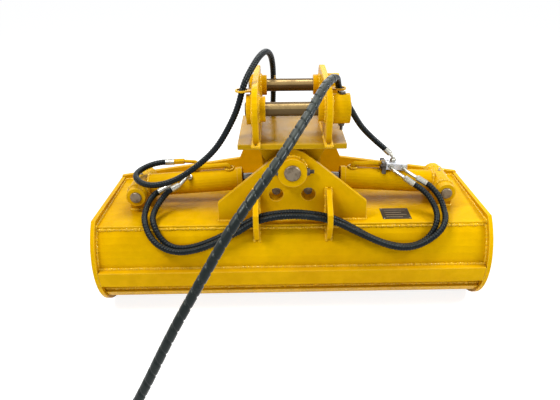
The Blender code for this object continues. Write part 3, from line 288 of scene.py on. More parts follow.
@dataclass(frozen=True)
class CameraSetup:
    """Where the photograph was taken from.

    Attributes:
        place: Camera position in the frame.
        pitch_down: Angle below the horizontal, in degrees.
        yaw_right: Turn to the right, in degrees.
        roll: Turn about the line of sight, in degrees.
        focal_px: Focal length in pixels of the photograph.
        shift_x: Sideways shift, as a share of the picture's width.
    """

    place: Point = (-0.044, -2.108, 1.350)
    pitch_down: float = 25.3
    yaw_right: float = 1.2
    roll: float = -0.3
    focal_px: float = 550.0
    shift_x: float = -0.0198
    picture_width: int = 560
    sensor: float = 36.0


def make_camera(setup: CameraSetup) -> bpy.types.Object:
    """Sets the camera at the photograph's viewpoint.

    Args:
        setup: The fitted viewpoint.

    Returns:
        The scene's camera.
    """
    data = bpy.data.cameras.new("photo_camera")
    data.sensor_width = setup.sensor
    data.lens = setup.focal_px / setup.picture_width * setup.sensor
    data.shift_x = setup.shift_x
    data.clip_end = 60
    camera = bpy.data.objects.new("photo_camera", data)
    camera.location = setup.place
    tilt = Matrix.Rotation(math.radians(90 - setup.pitch_down), 4, "X")
    roll = Matrix.Rotation(math.radians(setup.roll), 4, "Z")
    yaw = Matrix.Rotation(math.radians(-setup.yaw_right), 4, "Z")
    camera.rotation_euler = (yaw @ tilt @ roll).to_euler()
    bpy.context.scene.collection.objects.link(camera)
    bpy.context.scene.camera = camera
    return camera


@dataclass(frozen=True)
class Softbox:
    """One area lamp that looks at the middle of the bucket."""

    name: str
    place: Point
    size: Tuple[float, float]
    watts: float
    colour: Tuple[float, float, float] = (1.0, 1.0, 1.0)


SOFTBOXES = (
    Softbox("key_left", (-1.8, -1.6, 3.4), (1.2, 0.8), 92.0, (1.0, 0.985, 0.95)),
    Softbox("fill_right", (2.4, -0.8, 2.1), (1.3, 0.35), 52.0, (0.97, 0.985, 1.0)),
    Softbox("top", (0.2, 0.4, 3.6), (2.0, 1.2), 46.0),
    Softbox("back_rim", (0.0, 3.2, 2.2), (3.0, 1.2), 30.0, (0.97, 0.985, 1.0)),
)


def make_lights(boxes: Sequence[Softbox]) -> None:
    """Hangs the soft lamps.

    Args:
        boxes: The lamps to make.
    """
    for box in boxes:
        data = bpy.data.lights.new(box.name, "AREA")
        data.shape = "RECTANGLE"
        data.size, data.size_y = box.size
        data.energy = box.watts
        data.color = box.colour
        lamp = bpy.data.objects.new(box.name, data)
        lamp.location = box.place
        lamp.rotation_euler = (LAMP_AIM - Vector(box.place)).to_track_quat("-Z", "Y").to_euler()
        bpy.context.scene.collection.objects.link(lamp)


def background_rays(nodes: "NodeTree") -> bpy.types.NodeSocket:
    """Adds nodes that say whether a ray sees the background straight, or in metal or glass.

    Args:
        nodes: The world's or the material's nodes.

    Returns:
        A socket that is 1 for camera, glossy and transmission rays.
    """
    rays = nodes.add("ShaderNodeLightPath").outputs
    seen = nodes.maths("MAXIMUM", rays["Is Camera Ray"], rays["Is Glossy Ray"])
    return nodes.maths("MAXIMUM", seen, rays["Is Transmission Ray"])


def make_world() -> None:
    """A white backdrop that lights the object at a plain level."""
    world = bpy.data.worlds.new("studio")
    bpy.context.scene.world = world
    world.use_nodes = True
    nodes = NodeTree(world.node_tree)
    nodes.tree.nodes.clear()
    plain = nodes.add("ShaderNodeBackground", Color=SKY_COLOUR, Strength=SKY_LEVEL)
    white = nodes.add("ShaderNodeBackground", Color=WHITE, Strength=1.0)
    nodes.end_in_mix("ShaderNodeOutputWorld", background_rays(nodes), plain, white)


def make_floor() -> None:
    """A pale floor that keeps a soft shadow and fades into the white backdrop."""
    mesh = bpy.data.meshes.new("floor")
    form = bmesh.new()
    bmesh.ops.create_grid(form, x_segments=1, y_segments=1, size=FLOOR_SIZE)
    form.to_mesh(mesh)
    form.free()
    floor = bpy.data.objects.new("floor", mesh)
    floor.location.z = FLOOR_HEIGHT
    bpy.context.scene.collection.objects.link(floor)
    look = bpy.data.materials.new("floor")
    look.use_nodes = True
    nodes = NodeTree(look.node_tree)
    nodes.tree.nodes.clear()
    diffuse = nodes.add("ShaderNodeBsdfDiffuse", Color=FLOOR_COLOUR)
    glow = nodes.add("ShaderNodeEmission", Color=WHITE, Strength=FLOOR_GLOW)
    share = nodes.maths("MULTIPLY", background_rays(nodes), FLOOR_GLOW_SHARE)
    nodes.end_in_mix("ShaderNodeOutputMaterial", share, diffuse, glow)
    mesh.materials.append(look)


# Shader groups


class NodeTree:
    """A thin helper that adds nodes to a tree and joins their sockets by name."""

    def __init__(self, tree: bpy.types.NodeTree) -> None:
        """Takes up a tree.

        Args:
            tree: The tree to add to.
        """
        self.tree = tree

    def add(self, kind: str, **settings: object) -> bpy.types.Node:
        """Adds a node.

        Args:
            kind: The node's type name.
            settings: Attributes of the node, or default values of its input sockets with spaces as _.

        Returns:
            The new node.
        """
        node = self.tree.nodes.new(kind)
        for name, value in settings.items():
            if hasattr(node, name):
                setattr(node, name, value)
            else:
                node.inputs[name.replace("_", " ")].default_value = value
        return node

    def join(self, output: bpy.types.NodeSocket, into: bpy.types.NodeSocket) -> None:
        """Links two sockets."""
        self.tree.links.new(output, into)

    def feed(self, value: object, into: bpy.types.NodeSocket) -> None:
        """Gives an input a socket's value or a constant."""
        if isinstance(value, bpy.types.NodeSocket):
            self.join(value, into)
        else:
            into.default_value = value

    def maths(self, operation: str, first: object, second: object = 0.0, third: object = 0.0) -> bpy.types.NodeSocket:
        """Adds a Math node.

        Args:
            operation: The node's operation.
            first: A socket or a number.
            second: A socket or a number.
            third: A socket or a number.

        Returns:
            The node's output.
        """
        node = self.add("ShaderNodeMath", operation=operation)
        for into, value in zip(node.inputs, (first, second, third)):
            self.feed(value, into)
        return node.outputs[0]

    def noise(self, vector: bpy.types.NodeSocket, scale: float, detail: float, rough: float) -> bpy.types.NodeSocket:
        """Adds a 3D noise and returns its factor."""
        node = self.add("ShaderNodeTexNoise", Scale=scale, Detail=detail, Roughness=rough)
        self.join(vector, node.inputs["Vector"])
        return node.outputs["Fac"]

    def spread(
        self, value: bpy.types.NodeSocket, low: float, high: float, to_low: float = 0.0, to_high: float = 1.0
    ) -> bpy.types.NodeSocket:
        """Maps a value from one range to another, with smooth ends."""
        ranges = {"From_Min": low, "From_Max": high, "To_Min": to_low, "To_Max": to_high}
        node = self.add("ShaderNodeMapRange", interpolation_type="SMOOTHSTEP", **ranges)
        self.join(value, node.inputs["Value"])
        return node.outputs["Result"]

    def mix(self, factor: object, first: object, second: object, blend: str = "MIX") -> bpy.types.NodeSocket:
        """Mixes two colours.

        Args:
            factor: A socket or a number.
            first: A socket or an RGBA colour.
            second: A socket or an RGBA colour.
            blend: The node's blend type.

        Returns:
            The mixed colour.
        """
        node = self.add("ShaderNodeMix", data_type="RGBA", blend_type=blend)
        for index, value in ((0, factor), (6, first), (7, second)):
            self.feed(value, node.inputs[index])
        return node.outputs[2]

    def end_in_mix(self, kind: str, share: bpy.types.NodeSocket, first: bpy.types.Node, second: bpy.types.Node) -> None:
        """Ends the tree in a mix of two shaders.

        Args:
            kind: The output node's type name.
            share: The second shader's share.
            first: The first shader.
            second: The second shader.
        """
        mix = self.add("ShaderNodeMixShader")
        self.join(share, mix.inputs["Fac"])
        self.join(first.outputs[0], mix.inputs[1])
        self.join(second.outputs[0], mix.inputs[2])
        self.join(mix.outputs[0], self.add(kind).inputs["Surface"])


class SurfaceGroup(NodeTree):
    """A shader node group that gives a surface's colour, roughness and height.

    Attributes:
        given: The group's inputs.
        place: The point on the object.
        normal: Which way the surface faces.
        facing_up: How far it faces up.
    """

    def __init__(self, name: str, inputs: Dict[str, object]) -> None:
        """Starts the group.

        Args:
            name: The group's name.
            inputs: The default of each input, a colour or a number.
        """
        super().__init__(bpy.data.node_groups.new(name, "ShaderNodeTree"))
        face = self.tree.interface
        for label, default in inputs.items():
            kind = "NodeSocketColor" if isinstance(default, tuple) else "NodeSocketFloat"
            face.new_socket(label, in_out="INPUT", socket_type=kind).default_value = default
        for label, kind in (("Color", "Color"), ("Roughness", "Float"), ("Height", "Float")):
            face.new_socket(label, in_out="OUTPUT", socket_type=f"NodeSocket{kind}")
        self.given = self.add("NodeGroupInput").outputs
        self.place = self.add("ShaderNodeTexCoord").outputs["Object"]
        self.normal = self.add("ShaderNodeNewGeometry").outputs["Normal"]
        parts = self.add("ShaderNodeSeparateXYZ")
        self.join(self.normal, parts.inputs[0])
        self.facing_up = parts.outputs["Z"]

    def finish(
        self, colour: bpy.types.NodeSocket, rough: bpy.types.NodeSocket, height: bpy.types.NodeSocket
    ) -> bpy.types.NodeTree:
        """Joins the group's outputs.

        Args:
            colour: The surface's colour.
            rough: Its roughness.
            height: Its relief.

        Returns:
            The group's tree.
        """
        out = self.add("NodeGroupOutput").inputs
        for label, socket in (("Color", colour), ("Roughness", rough), ("Height", height)):
            self.join(socket, out[label])
        return self.tree


def plate_paint_group() -> bpy.types.NodeTree:
    """Sprayed machine paint: thick and thin patches, runs, dust in flat places, chips, orange peel, painted shade in
    creases and a painted highlight along edges.

    Returns:
        The group's tree.
    """
    nodes = SurfaceGroup(
        "Sprayed plate paint",
        {
            "Paint": (0.8, 0.45, 0.01, 1),
            "Thin": (0.6, 0.3, 0.01, 1),
            "Dust": (0.5, 0.42, 0.3, 1),
            "Bare": (0.2, 0.17, 0.14, 1),
            "Edge highlight": (0.90, 0.66, 0.22, 1),
            "Dustiness": 0.2,
            "Crease shade": 0.9,
            "Chips": 0.2,
            "Gloss": 0.3,
        },
    )
    given, place = nodes.given, nodes.place
    patches = nodes.noise(place, 3.4, 4.0, 0.6)
    clouds = nodes.noise(place, 17.0, 3.0, 0.6)
    colour = nodes.mix(nodes.spread(patches, 0.35, 0.75), given["Paint"], given["Thin"])
    shade = nodes.spread(clouds, 0.25, 0.75, 0.93, 1.05)
    tint = nodes.add("ShaderNodeHueSaturation", Hue=0.5, Saturation=1.0)
    nodes.join(shade, tint.inputs["Value"])
    nodes.join(colour, tint.inputs["Color"])
    flat = nodes.spread(nodes.facing_up, 0.55, 0.98)
    dirt = nodes.noise(place, 9.0, 6.0, 0.68)
    # Painted shade: ambient occlusion darkens the paint in creases and under parts, such as the deck under the barrels.
    corner = nodes.add("ShaderNodeAmbientOcclusion", samples=8, Distance=0.09)
    crease_shade_mask = nodes.spread(corner.outputs["AO"], 0.25, 0.95, 1.0, 0.0)
    lying = nodes.maths("MULTIPLY", flat, nodes.spread(dirt, 0.42, 0.76))
    dusty = nodes.maths("MULTIPLY", lying, given["Dustiness"])
    dust_and_shade = nodes.mix(dusty, tint.outputs["Color"], given["Dust"])
    crease_shade = nodes.maths("MULTIPLY", crease_shade_mask, given["Crease shade"])
    dust_and_shade = nodes.mix(crease_shade, dust_and_shade, CREASE_SHADE_COLOUR, "MULTIPLY")
    # Painted highlight: plate edges are lightened towards a pale yellow; the same edge mask also places the chips.
    edge = nodes.add("ShaderNodeBevel", samples=4, Radius=0.0030)
    facing = nodes.add("ShaderNodeVectorMath", operation="DOT_PRODUCT")
    nodes.join(edge.outputs["Normal"], facing.inputs[0])
    nodes.join(nodes.normal, facing.inputs[1])
    edge_wear_and_highlight = nodes.spread(facing.outputs["Value"], 0.82, 0.97, 1.0, 0.0)
    knocks = nodes.spread(nodes.noise(place, 42.0, 5.0, 0.7), 0.56, 0.66)
    chipped = nodes.maths("MULTIPLY", nodes.maths("MULTIPLY", edge_wear_and_highlight, knocks), given["Chips"])
    wear_and_highlight = nodes.mix(nodes.maths("MULTIPLY", edge_wear_and_highlight, 0.45), dust_and_shade, given["Edge highlight"])
    final = nodes.mix(chipped, wear_and_highlight, given["Bare"])
    rough = nodes.maths("ADD", given["Gloss"], nodes.maths("MULTIPLY", dusty, 0.45))
    rough = nodes.maths("ADD", rough, nodes.spread(clouds, 0.3, 0.7, -0.05, 0.07))
    peel = nodes.noise(place, 420.0, 2.0, 0.5)
    waves = nodes.noise(place, 26.0, 2.0, 0.4)
    height = nodes.maths("MULTIPLY_ADD", peel, 0.25, nodes.maths("MULTIPLY", waves, 1.2))
    height = nodes.maths("SUBTRACT", height, nodes.maths("MULTIPLY", chipped, 0.5))
    return nodes.finish(final, rough, height)


def bare_metal_group() -> bpy.types.NodeTree:
    """Machined or plated metal: fine tool marks, stains, and painted shade that darkens its tops and undersides.

    Returns:
        The group's tree.
    """
    nodes = SurfaceGroup(
        "Bare metal",
        {
            "Metal": (0.5, 0.48, 0.44, 1),
            "Stain and shade": (0.2, 0.15, 0.1, 1),
            "Stained": 0.4,
            "Top and under shade": 0.0,
            "Polish": 0.3,
        },
    )
    given, place = nodes.given, nodes.place
    # Painted shade: tops and undersides darken towards the stain colour, standing in for a dark reflection on top and
    # shade below.
    above = nodes.spread(nodes.facing_up, 0.80, 0.92)
    below = nodes.spread(nodes.facing_up, 0.10, 0.42, 1.0, 0.0)
    top_and_under_shade = nodes.maths("MULTIPLY", nodes.maths("MAXIMUM", above, below), given["Top and under shade"])
    blots = nodes.spread(nodes.noise(place, 38.0, 6.0, 0.7), 0.42, 0.68)
    specks = nodes.spread(nodes.noise(place, 260.0, 4.0, 0.65), 0.5, 0.75)
    spots = nodes.maths("MAXIMUM", blots, nodes.maths("MULTIPLY", specks, 0.6))
    stain_and_shade = nodes.maths("MULTIPLY", spots, given["Stained"])
    stain_and_shade = nodes.maths("MAXIMUM", stain_and_shade, top_and_under_shade)
    colour = nodes.mix(stain_and_shade, given["Metal"], given["Stain and shade"])
    rough = nodes.maths("ADD", given["Polish"], nodes.maths("MULTIPLY", stain_and_shade, 0.35))
    marks = nodes.noise(place, 900.0, 2.0, 0.5)
    height = nodes.maths("MULTIPLY_ADD", specks, 0.7, nodes.maths("MULTIPLY", marks, 0.4))
    return nodes.finish(colour, rough, height)


def hose_cover_group() -> bpy.types.NodeTree:
    """Rubber hose cover: fine wrap marks across the hose, chalky wear, and a painted highlight on upward faces.

    Returns:
        The group's tree.
    """
    nodes = SurfaceGroup(
        "Hose cover",
        {
            "Rubber": (0.015, 0.017, 0.02, 1),
            "Chalk and highlight": (0.09, 0.09, 0.085, 1),
            "Worn": 0.4,
            "Top highlight": 0.4,
            "Sheen level": 0.35,
        },
    )
    given, place = nodes.given, nodes.place
    above = nodes.spread(nodes.facing_up, 0.45, 0.90)
    wear_and_highlight = nodes.spread(nodes.noise(place, 14.0, 5.0, 0.65), 0.46, 0.74)
    grain = nodes.noise(place, 700.0, 2.0, 0.5)
    wrap = nodes.noise(place, 160.0, 3.0, 0.6)
    amount = nodes.maths("MULTIPLY", wear_and_highlight, given["Worn"])
    # Painted highlight: upward faces are lightened in patches towards the chalk colour.
    top_highlight = nodes.maths("MULTIPLY", above, nodes.spread(wear_and_highlight, 0.0, 1.0, 0.65, 1.0))
    amount = nodes.maths("MAXIMUM", amount, nodes.maths("MULTIPLY", top_highlight, given["Top highlight"]))
    colour = nodes.mix(amount, given["Rubber"], given["Chalk and highlight"])
    rough = nodes.maths("ADD", given["Sheen level"], nodes.maths("MULTIPLY", amount, 0.3))
    height = nodes.maths("MULTIPLY_ADD", wrap, 0.8, nodes.maths("MULTIPLY", grain, 0.3))
    return nodes.finish(colour, rough, height)


@dataclass(frozen=True)
class Finish:
    """One surface finish, made from a shader group.

    Attributes:
        name: The material's name.
        group: Which shader group gives its colour, roughness and height.
        values: The group's inputs.
        metallic: The shader's metallic value.
        bump: Height of the relief in metres.
        slot: The record's slot that the finish belongs to.
        coat: Clear coat weight.
        coat_roughness: The coat's roughness.
        specular: The shader's specular level.
        specular_tint: Colour of the reflection seen straight on.
        index: Index of refraction, which sets how much glancing light comes off.
    """

    name: str
    group: str
    values: Tuple[Tuple[str, object], ...]
    slot: Slot
    metallic: float = 0.0
    bump: float = 0.0004
    coat: float = 0.0
    coat_roughness: float = 0.1
    specular: float = 0.5
    specular_tint: Colour = WHITE
    index: float = 1.5


class Paintshop:
    """Makes each finish once and hands it out."""

    def __init__(self) -> None:
        """Builds the shared groups."""
        self.groups = {
            "paint": plate_paint_group(),
            "metal": bare_metal_group(),
            "hose": hose_cover_group(),
        }
        self.made: Dict[str, bpy.types.Material] = {}

    def material(self, finish: Finish) -> bpy.types.Material:
        """The material of a finish.

        Args:
            finish: What it looks like.

        Returns:
            The material, made at the first call.
        """
        if finish.name in self.made:
            return self.made[finish.name]
        look = bpy.data.materials.new(finish.name)
        look.use_nodes = True
        nodes = NodeTree(look.node_tree)
        shader = look.node_tree.nodes["Principled BSDF"]
        group = nodes.add("ShaderNodeGroup", node_tree=self.groups[finish.group])
        for label, value in finish.values:
            group.inputs[label].default_value = value
        bump = nodes.add("ShaderNodeBump", Strength=1.0, Distance=finish.bump)
        nodes.join(group.outputs["Color"], shader.inputs["Base Color"])
        nodes.join(group.outputs["Roughness"], shader.inputs["Roughness"])
        nodes.join(group.outputs["Height"], bump.inputs["Height"])
        nodes.join(bump.outputs["Normal"], shader.inputs["Normal"])
        for label, value in (
            ("Metallic", finish.metallic),
            ("IOR", finish.index),
            ("Specular IOR Level", finish.specular),
            ("Specular Tint", finish.specular_tint),
            ("Coat Weight", finish.coat),
            ("Coat Roughness", finish.coat_roughness),
        ):
            shader.inputs[label].default_value = value
        self.made[finish.name] = look
        return look


def metal_finish(
    name: str,
    slot: Slot,
    metal: Colour,
    stain_and_shade: Colour,
    levels: Tuple[float, float, float],
    metallic: float,
    bump: float,
) -> Finish:
    """A finish of bare or plated metal.

    Args:
        name: The material's name.
        slot: The record's slot.
        metal: The clean metal's colour.
        stain_and_shade: The colour of its stains and of its painted shade.
        levels: How stained it is, how strongly its tops and undersides are darkened as painted shade, and its
            roughness.
        metallic: The shader's metallic value.
        bump: Height of the relief in metres.

    Returns:
        The finish.
    """
    stained, top_and_under_shade, polish = levels
    values = (("Metal", metal), ("Stain and shade", stain_and_shade), ("Stained", stained), ("Top and under shade", top_and_under_shade), ("Polish", polish))
    return Finish(name, "metal", values, slot, metallic=metallic, bump=bump)


YELLOW: Colour = (0.745, 0.425, 0.001, 1)
THIN_YELLOW: Colour = (0.640, 0.340, 0.001, 1)
DRY_DUST: Colour = (0.42, 0.27, 0.09, 1)
PRIMER: Colour = (0.15, 0.10, 0.07, 1)
# Colour that darkens the paint in creases, as painted shade.
CREASE_SHADE_COLOUR: Colour = (0.62, 0.50, 0.26, 1)

PAINT = Finish(
    "machine_paint",
    "paint",
    (
        ("Paint", YELLOW),
        ("Thin", THIN_YELLOW),
        ("Dust", DRY_DUST),
        ("Bare", PRIMER),
        ("Dustiness", 0.10),
        ("Chips", 0.25),
        ("Gloss", 0.26),
    ),
    Slot.PAINT,
    bump=0.0003,
    specular=0.5,
    specular_tint=(1.0, 0.80, 0.15, 1),
    index=1.10,
)
# Painted shade: a darker copy of the machine paint for the headstock's base plate, which lies in the shade of the pins
# and ears.
SHADED_BASE_PAINT = Finish(
    "glossy_base_paint_shaded",
    "paint",
    (
        ("Paint", (0.52, 0.300, 0.003, 1)),
        ("Thin", (0.40, 0.225, 0.004, 1)),
        ("Dust", (0.26, 0.20, 0.10, 1)),
        ("Bare", PRIMER),
        ("Dustiness", 0.20),
        ("Crease shade", 0.9),
        ("Chips", 0.25),
        ("Gloss", 0.18),
    ),
    Slot.PAINT,
    bump=0.0004,
    specular=0.5,
    specular_tint=(1.0, 0.80, 0.40, 1),
    index=1.13,
)
WELD_PAINT = Finish(
    "painted_weld",
    "paint",
    (
        ("Paint", (0.78, 0.46, 0.003, 1)),
        ("Thin", (0.58, 0.31, 0.004, 1)),
        ("Dust", (0.36, 0.22, 0.07, 1)),
        ("Bare", PRIMER),
        ("Dustiness", 0.10),
        ("Crease shade", 0.0),
        ("Chips", 0.10),
        ("Gloss", 0.14),
    ),
    Slot.PAINT,
    bump=0.0005,
    coat=0.20,
    coat_roughness=0.06,
    specular=0.2,
    specular_tint=(1.0, 0.80, 0.20, 1),
)
# The middle level of each metal finish is painted shade on tops and undersides; it is strong on the pins.
PIN_STEEL = metal_finish(
    "pin_steel", Slot.STEEL, (0.34, 0.235, 0.095, 1), (0.075, 0.048, 0.022, 1), (0.45, 0.85, 0.3), 0.85, 0.00015
)
PIN_END = metal_finish(
    "pin_end_steel", Slot.STEEL, (0.22, 0.175, 0.12, 1), (0.1, 0.07, 0.042, 1), (0.8, 0.0, 0.4), 0.8, 0.0002
)
DARK_BOLT = metal_finish(
    "dark_bolt", Slot.STEEL, (0.12, 0.105, 0.09, 1), (0.05, 0.038, 0.025, 1), (0.5, 0.0, 0.4), 0.8, 0.0001
)
# Painted shade: the chrome rods get a dark colour that stands in for the dark surroundings they reflect.
SHADED_ROD_CHROME = metal_finish(
    "rod_chrome_shaded", Slot.CHROME, (0.13, 0.12, 0.105, 1), (0.05, 0.042, 0.03, 1), (0.35, 0.0, 0.2), 1.0, 1e-05
)
ZINC = metal_finish(
    "zinc_plate", Slot.ZINC, (0.58, 0.575, 0.52, 1), (0.16, 0.14, 0.09, 1), (0.55, 0.25, 0.24), 0.85, 6e-05
)
ZINC_BOLT = metal_finish(
    "yellowed_zinc", Slot.ZINC, (0.46, 0.42, 0.32, 1), (0.14, 0.1, 0.055, 1), (0.6, 0.0, 0.32), 0.8, 0.0001
)
BLOCK_STEEL = metal_finish(
    "block_steel", Slot.STEEL, (0.74, 0.77, 0.83, 1), (0.3, 0.24, 0.17, 1), (0.3, 0.0, 0.36), 0.6, 0.0001
)
BRASS = metal_finish(
    "dull_brass", Slot.ZINC, (0.45, 0.33, 0.12, 1), (0.16, 0.1, 0.04, 1), (0.5, 0.0, 0.3), 0.85, 6e-05
)
PLATE_FACE = metal_finish(
    "rating_plate", Slot.STEEL, (0.032, 0.03, 0.024, 1), (0.06, 0.045, 0.018, 1), (0.6, 0.0, 0.35), 0.3, 0.0001
)
# The hose and guard finishes lighten their upward faces as a painted highlight.
HOSE_RUBBER = Finish(
    "hose_rubber",
    "hose",
    (
        ("Rubber", (0.004, 0.006, 0.008, 1)),
        ("Chalk and highlight", (0.080, 0.088, 0.080, 1)),
        ("Worn", 0.10),
        ("Top highlight", 0.28),
        ("Sheen level", 0.24),
    ),
    Slot.RUBBER,
    bump=0.0002,
    index=1.24,
    specular=0.5,
    specular_tint=(0.90, 1.0, 1.0, 1),
)
GUARD_PLASTIC = Finish(
    "guard_plastic",
    "hose",
    (
        ("Rubber", (0.006, 0.010, 0.010, 1)),
        ("Chalk and highlight", (0.110, 0.120, 0.100, 1)),
        ("Worn", 0.15),
        ("Top highlight", 0.45),
        ("Sheen level", 0.26),
    ),
    Slot.RUBBER,
    bump=0.0003,
    index=1.32,
    specular=0.5,
    specular_tint=(0.92, 1.0, 0.98, 1),
)

NODE_FINISHES: Dict[str, Finish] = {
    name: finish
    for finish, names in (
        (PIN_END, ("tilt_pin", "cylinder_pin_left", "cylinder_pin_right")),
        (PIN_STEEL, ("near_pin", "far_pin")),
        (DARK_BOLT, ("tilt_pin_bolt", "near_pin_bolt")),
        (SHADED_ROD_CHROME, ("rod_left", "rod_right")),
        (BLOCK_STEEL, ("valve_block",)),
        (SHADED_BASE_PAINT, ("headstock_base",)),
        (ZINC, (*HOSE_ENDS, "coupler_left", "coupler_right")),
    )
    for name in names
}


def dress_nodes(shop: Paintshop) -> None:
    """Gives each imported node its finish.

    Args:
        shop: Where the materials come from.
    """
    for name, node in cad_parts.items():
        finish = NODE_FINISHES.get(name, PAINT)
        node.data.materials.clear()
        node.data.materials.append(shop.material(finish))
        smooth_by_angle(node.data)


def smooth_by_angle(mesh: bpy.types.Mesh, degrees: float = 32.0) -> None:
    """Shades a mesh smooth except over sharp edges.

    Args:
        mesh: The mesh.
        degrees: The smallest angle that stays sharp.
    """
    mesh.shade_smooth()
    mesh.set_sharp_from_angle(angle=math.radians(degrees))


# Swept shapes


def resampled(line: Sequence[Vector], spacing: float, least: int) -> Tuple[List[float], List[Vector]]:
    """Points at even spacing along a line.

    Args:
        line: The line's own points.
        spacing: Distance between the new points.
        least: The smallest number of steps.

    Returns:
        How far along the line each new point is, and the points, ends included.
    """
    reach = [0.0]
    for a, b in zip(line, line[1:]):
        reach.append(reach[-1] + (b - a).length)
    count = max(least, round(reach[-1] / spacing))
    stations = [reach[-1] * i / count for i in range(count + 1)]
    even: List[Vector] = []
    k = 0
    for want in stations:
        while k < len(reach) - 2 and reach[k + 1] < want:
            k += 1
        share = (want - reach[k]) / max(reach[k + 1] - reach[k], 1e-9)
        even.append(line[k].lerp(line[k + 1], min(share, 1)))
    return stations, even


def smooth_route(points: Sequence[Sequence[float]], spacing: float) -> List[Vector]:
    """Points at even spacing on one smooth curve through the given ones.

    Args:
        points: The curve's own points.
        spacing: Distance between the new points.

    Returns:
        The new points, ends included.
    """
    rows = [Vector(p) for p in points]
    rows = [rows[0] * 2 - rows[1], *rows, rows[-1] * 2 - rows[-2]]
    fine: List[Vector] = []
    for a, b, c, d in zip(rows, rows[1:], rows[2:], rows[3:]):
        for k in range(SMOOTH_STEPS):
            t = k / SMOOTH_STEPS
            bent = 2 * b + (c - a) * t + (2 * a - 5 * b + 4 * c - d) * t**2
            fine.append(0.5 * (bent + (3 * b - a - 3 * c + d) * t**3))
    fine.append(rows[-2])
    return resampled(fine, spacing, 2)[1]


def route_length(points: Sequence[Vector]) -> float:
    """The length of a line through points."""
    return sum((b - a).length for a, b in zip(points, points[1:]))


class Draft:
    """A mesh in the making: swept, turned and boxed shapes that end up in one object."""

    def __init__(self) -> None:
        """Starts empty."""
        self.form = bmesh.new()

    def ring(
        self, centre: Vector, side: Vector, other: Vector, radius: float, sides: int, spin: float
    ) -> List[bmesh.types.BMVert]:
        """Corners round a centre.

        Args:
            centre: The centre.
            side: The direction of the first corner.
            other: The direction square to it.
            radius: How far out the corners are.
            sides: How many there are.
            spin: Turn from the first direction, in radians.

        Returns:
            The corners.
        """
        angles = [spin + 2 * math.pi * j / sides for j in range(sides)]
        return [self.form.verts.new(centre + (side * math.cos(a) + other * math.sin(a)) * radius) for a in angles]

    def skin(self, rings: Sequence[List[bmesh.types.BMVert]]) -> None:
        """Closes the wall between rings, and both ends."""
        for low, high in zip(rings, rings[1:]):
            for j in range(len(low)):
                k = (j + 1) % len(low)
                self.form.faces.new((low[j], low[k], high[k], high[j]))
        self.form.faces.new(rings[0][::-1])
        self.form.faces.new(rings[-1])

    def sweep(self, path: Sequence[Vector], radius: float, sides: int) -> List[List[bmesh.types.BMVert]]:
        """A round bar along a path.

        Args:
            path: The points it follows.
            radius: Its radius.
            sides: How many sides its section has.

        Returns:
            The corners of each ring.
        """
        ways = [(b - a).normalized() for a, b in zip(path, path[1:])]
        side = ways[0].orthogonal().normalized()
        rings = []
        for k, point in enumerate(path):
            before, after = ways[max(k - 1, 0)], ways[min(k, len(ways) - 1)]
            way = (before + after).normalized()
            side = (side - way * side.dot(way)).normalized()
            rings.append(self.ring(point, side, way.cross(side), radius, sides, 0.0))
        self.skin(rings)
        return rings

    def turned(
        self, centre: Vector, way: Vector, profile: Sequence[Tuple[float, float]], sides: int, spin: float = 0.0
    ) -> None:
        """A turned shape.

        Args:
            centre: Where height 0 is.
            way: The axis.
            profile: Height and radius, from one end to the other.
            sides: How many sides it has.
            spin: Turn about the axis, in radians.
        """
        way = way.normalized()
        side = way.orthogonal().normalized()
        other = way.cross(side)
        self.skin([self.ring(centre + way * height, side, other, radius, sides, spin) for height, radius in profile])

    def box(self, centre: Vector, size: Sequence[float], bevel: float, turn: Matrix = Matrix.Identity(3)) -> None:
        """A box with broken edges.

        Args:
            centre: Its middle.
            size: Its three lengths.
            bevel: Width of its broken edges, or 0 for sharp ones.
            turn: Its rotation.
        """
        verts = bmesh.ops.create_cube(self.form, size=1)["verts"]
        for vert in verts:
            local = Vector(c * s for c, s in zip(vert.co, size))
            vert.co = centre + turn @ local
        if bevel:
            edges = list(dict.fromkeys(edge for vert in verts for edge in vert.link_edges))
            bmesh.ops.bevel(self.form, geom=edges, offset=bevel, segments=2, affect="EDGES", profile=0.6)

    def release(self, name: str, shop: "Paintshop", finish: "Finish", smooth: float = 32.0) -> bpy.types.Object:
        """Turns the draft into an object.

        Args:
            name: The object's name.
            shop: Where its material comes from.
            finish: Its look.
            smooth: The smallest angle that stays sharp, in degrees.

        Returns:
            The object, linked to the scene.
        """
        mesh = bpy.data.meshes.new(name)
        self.form.normal_update()
        self.form.to_mesh(mesh)
        self.form.free()
        mesh.materials.append(shop.material(finish))
        smooth_by_angle(mesh, smooth)
        made = bpy.data.objects.new(name, mesh)
        bpy.context.scene.collection.objects.link(made)
        return made


# Hoses


@dataclass(frozen=True)
class HoseRun:
    """A stretch of hose between two bodies, or one that rides on a single body.

    Attributes:
        name: The piece's name.
        node: The CAD node that it stands for.
        bodies: The two bodies that it lies between.
        start: A point where it leaves the first body.
        end: A point where it reaches the second.
        far_end: What is on its far end.
        radius: Half the hose's diameter.
        coupler: The node that is on its far end, if any.
    """

    name: str
    node: str
    bodies: Tuple[Body, Body]
    start: Point = (0.0, 0.0, 0.0)
    end: Point = (0.0, 0.0, 1.0)
    far_end: str = "object"
    radius: float = HOSE_RADIUS
    coupler: Optional[str] = None


def lead(end: Vector, way: Vector) -> Tuple[Vector, Vector]:
    """Two points just past a hose's end: its seat, and where it may start to bend."""
    way = way.normalized()
    return end + way * SEAT, end + way * HOSE_LEAD


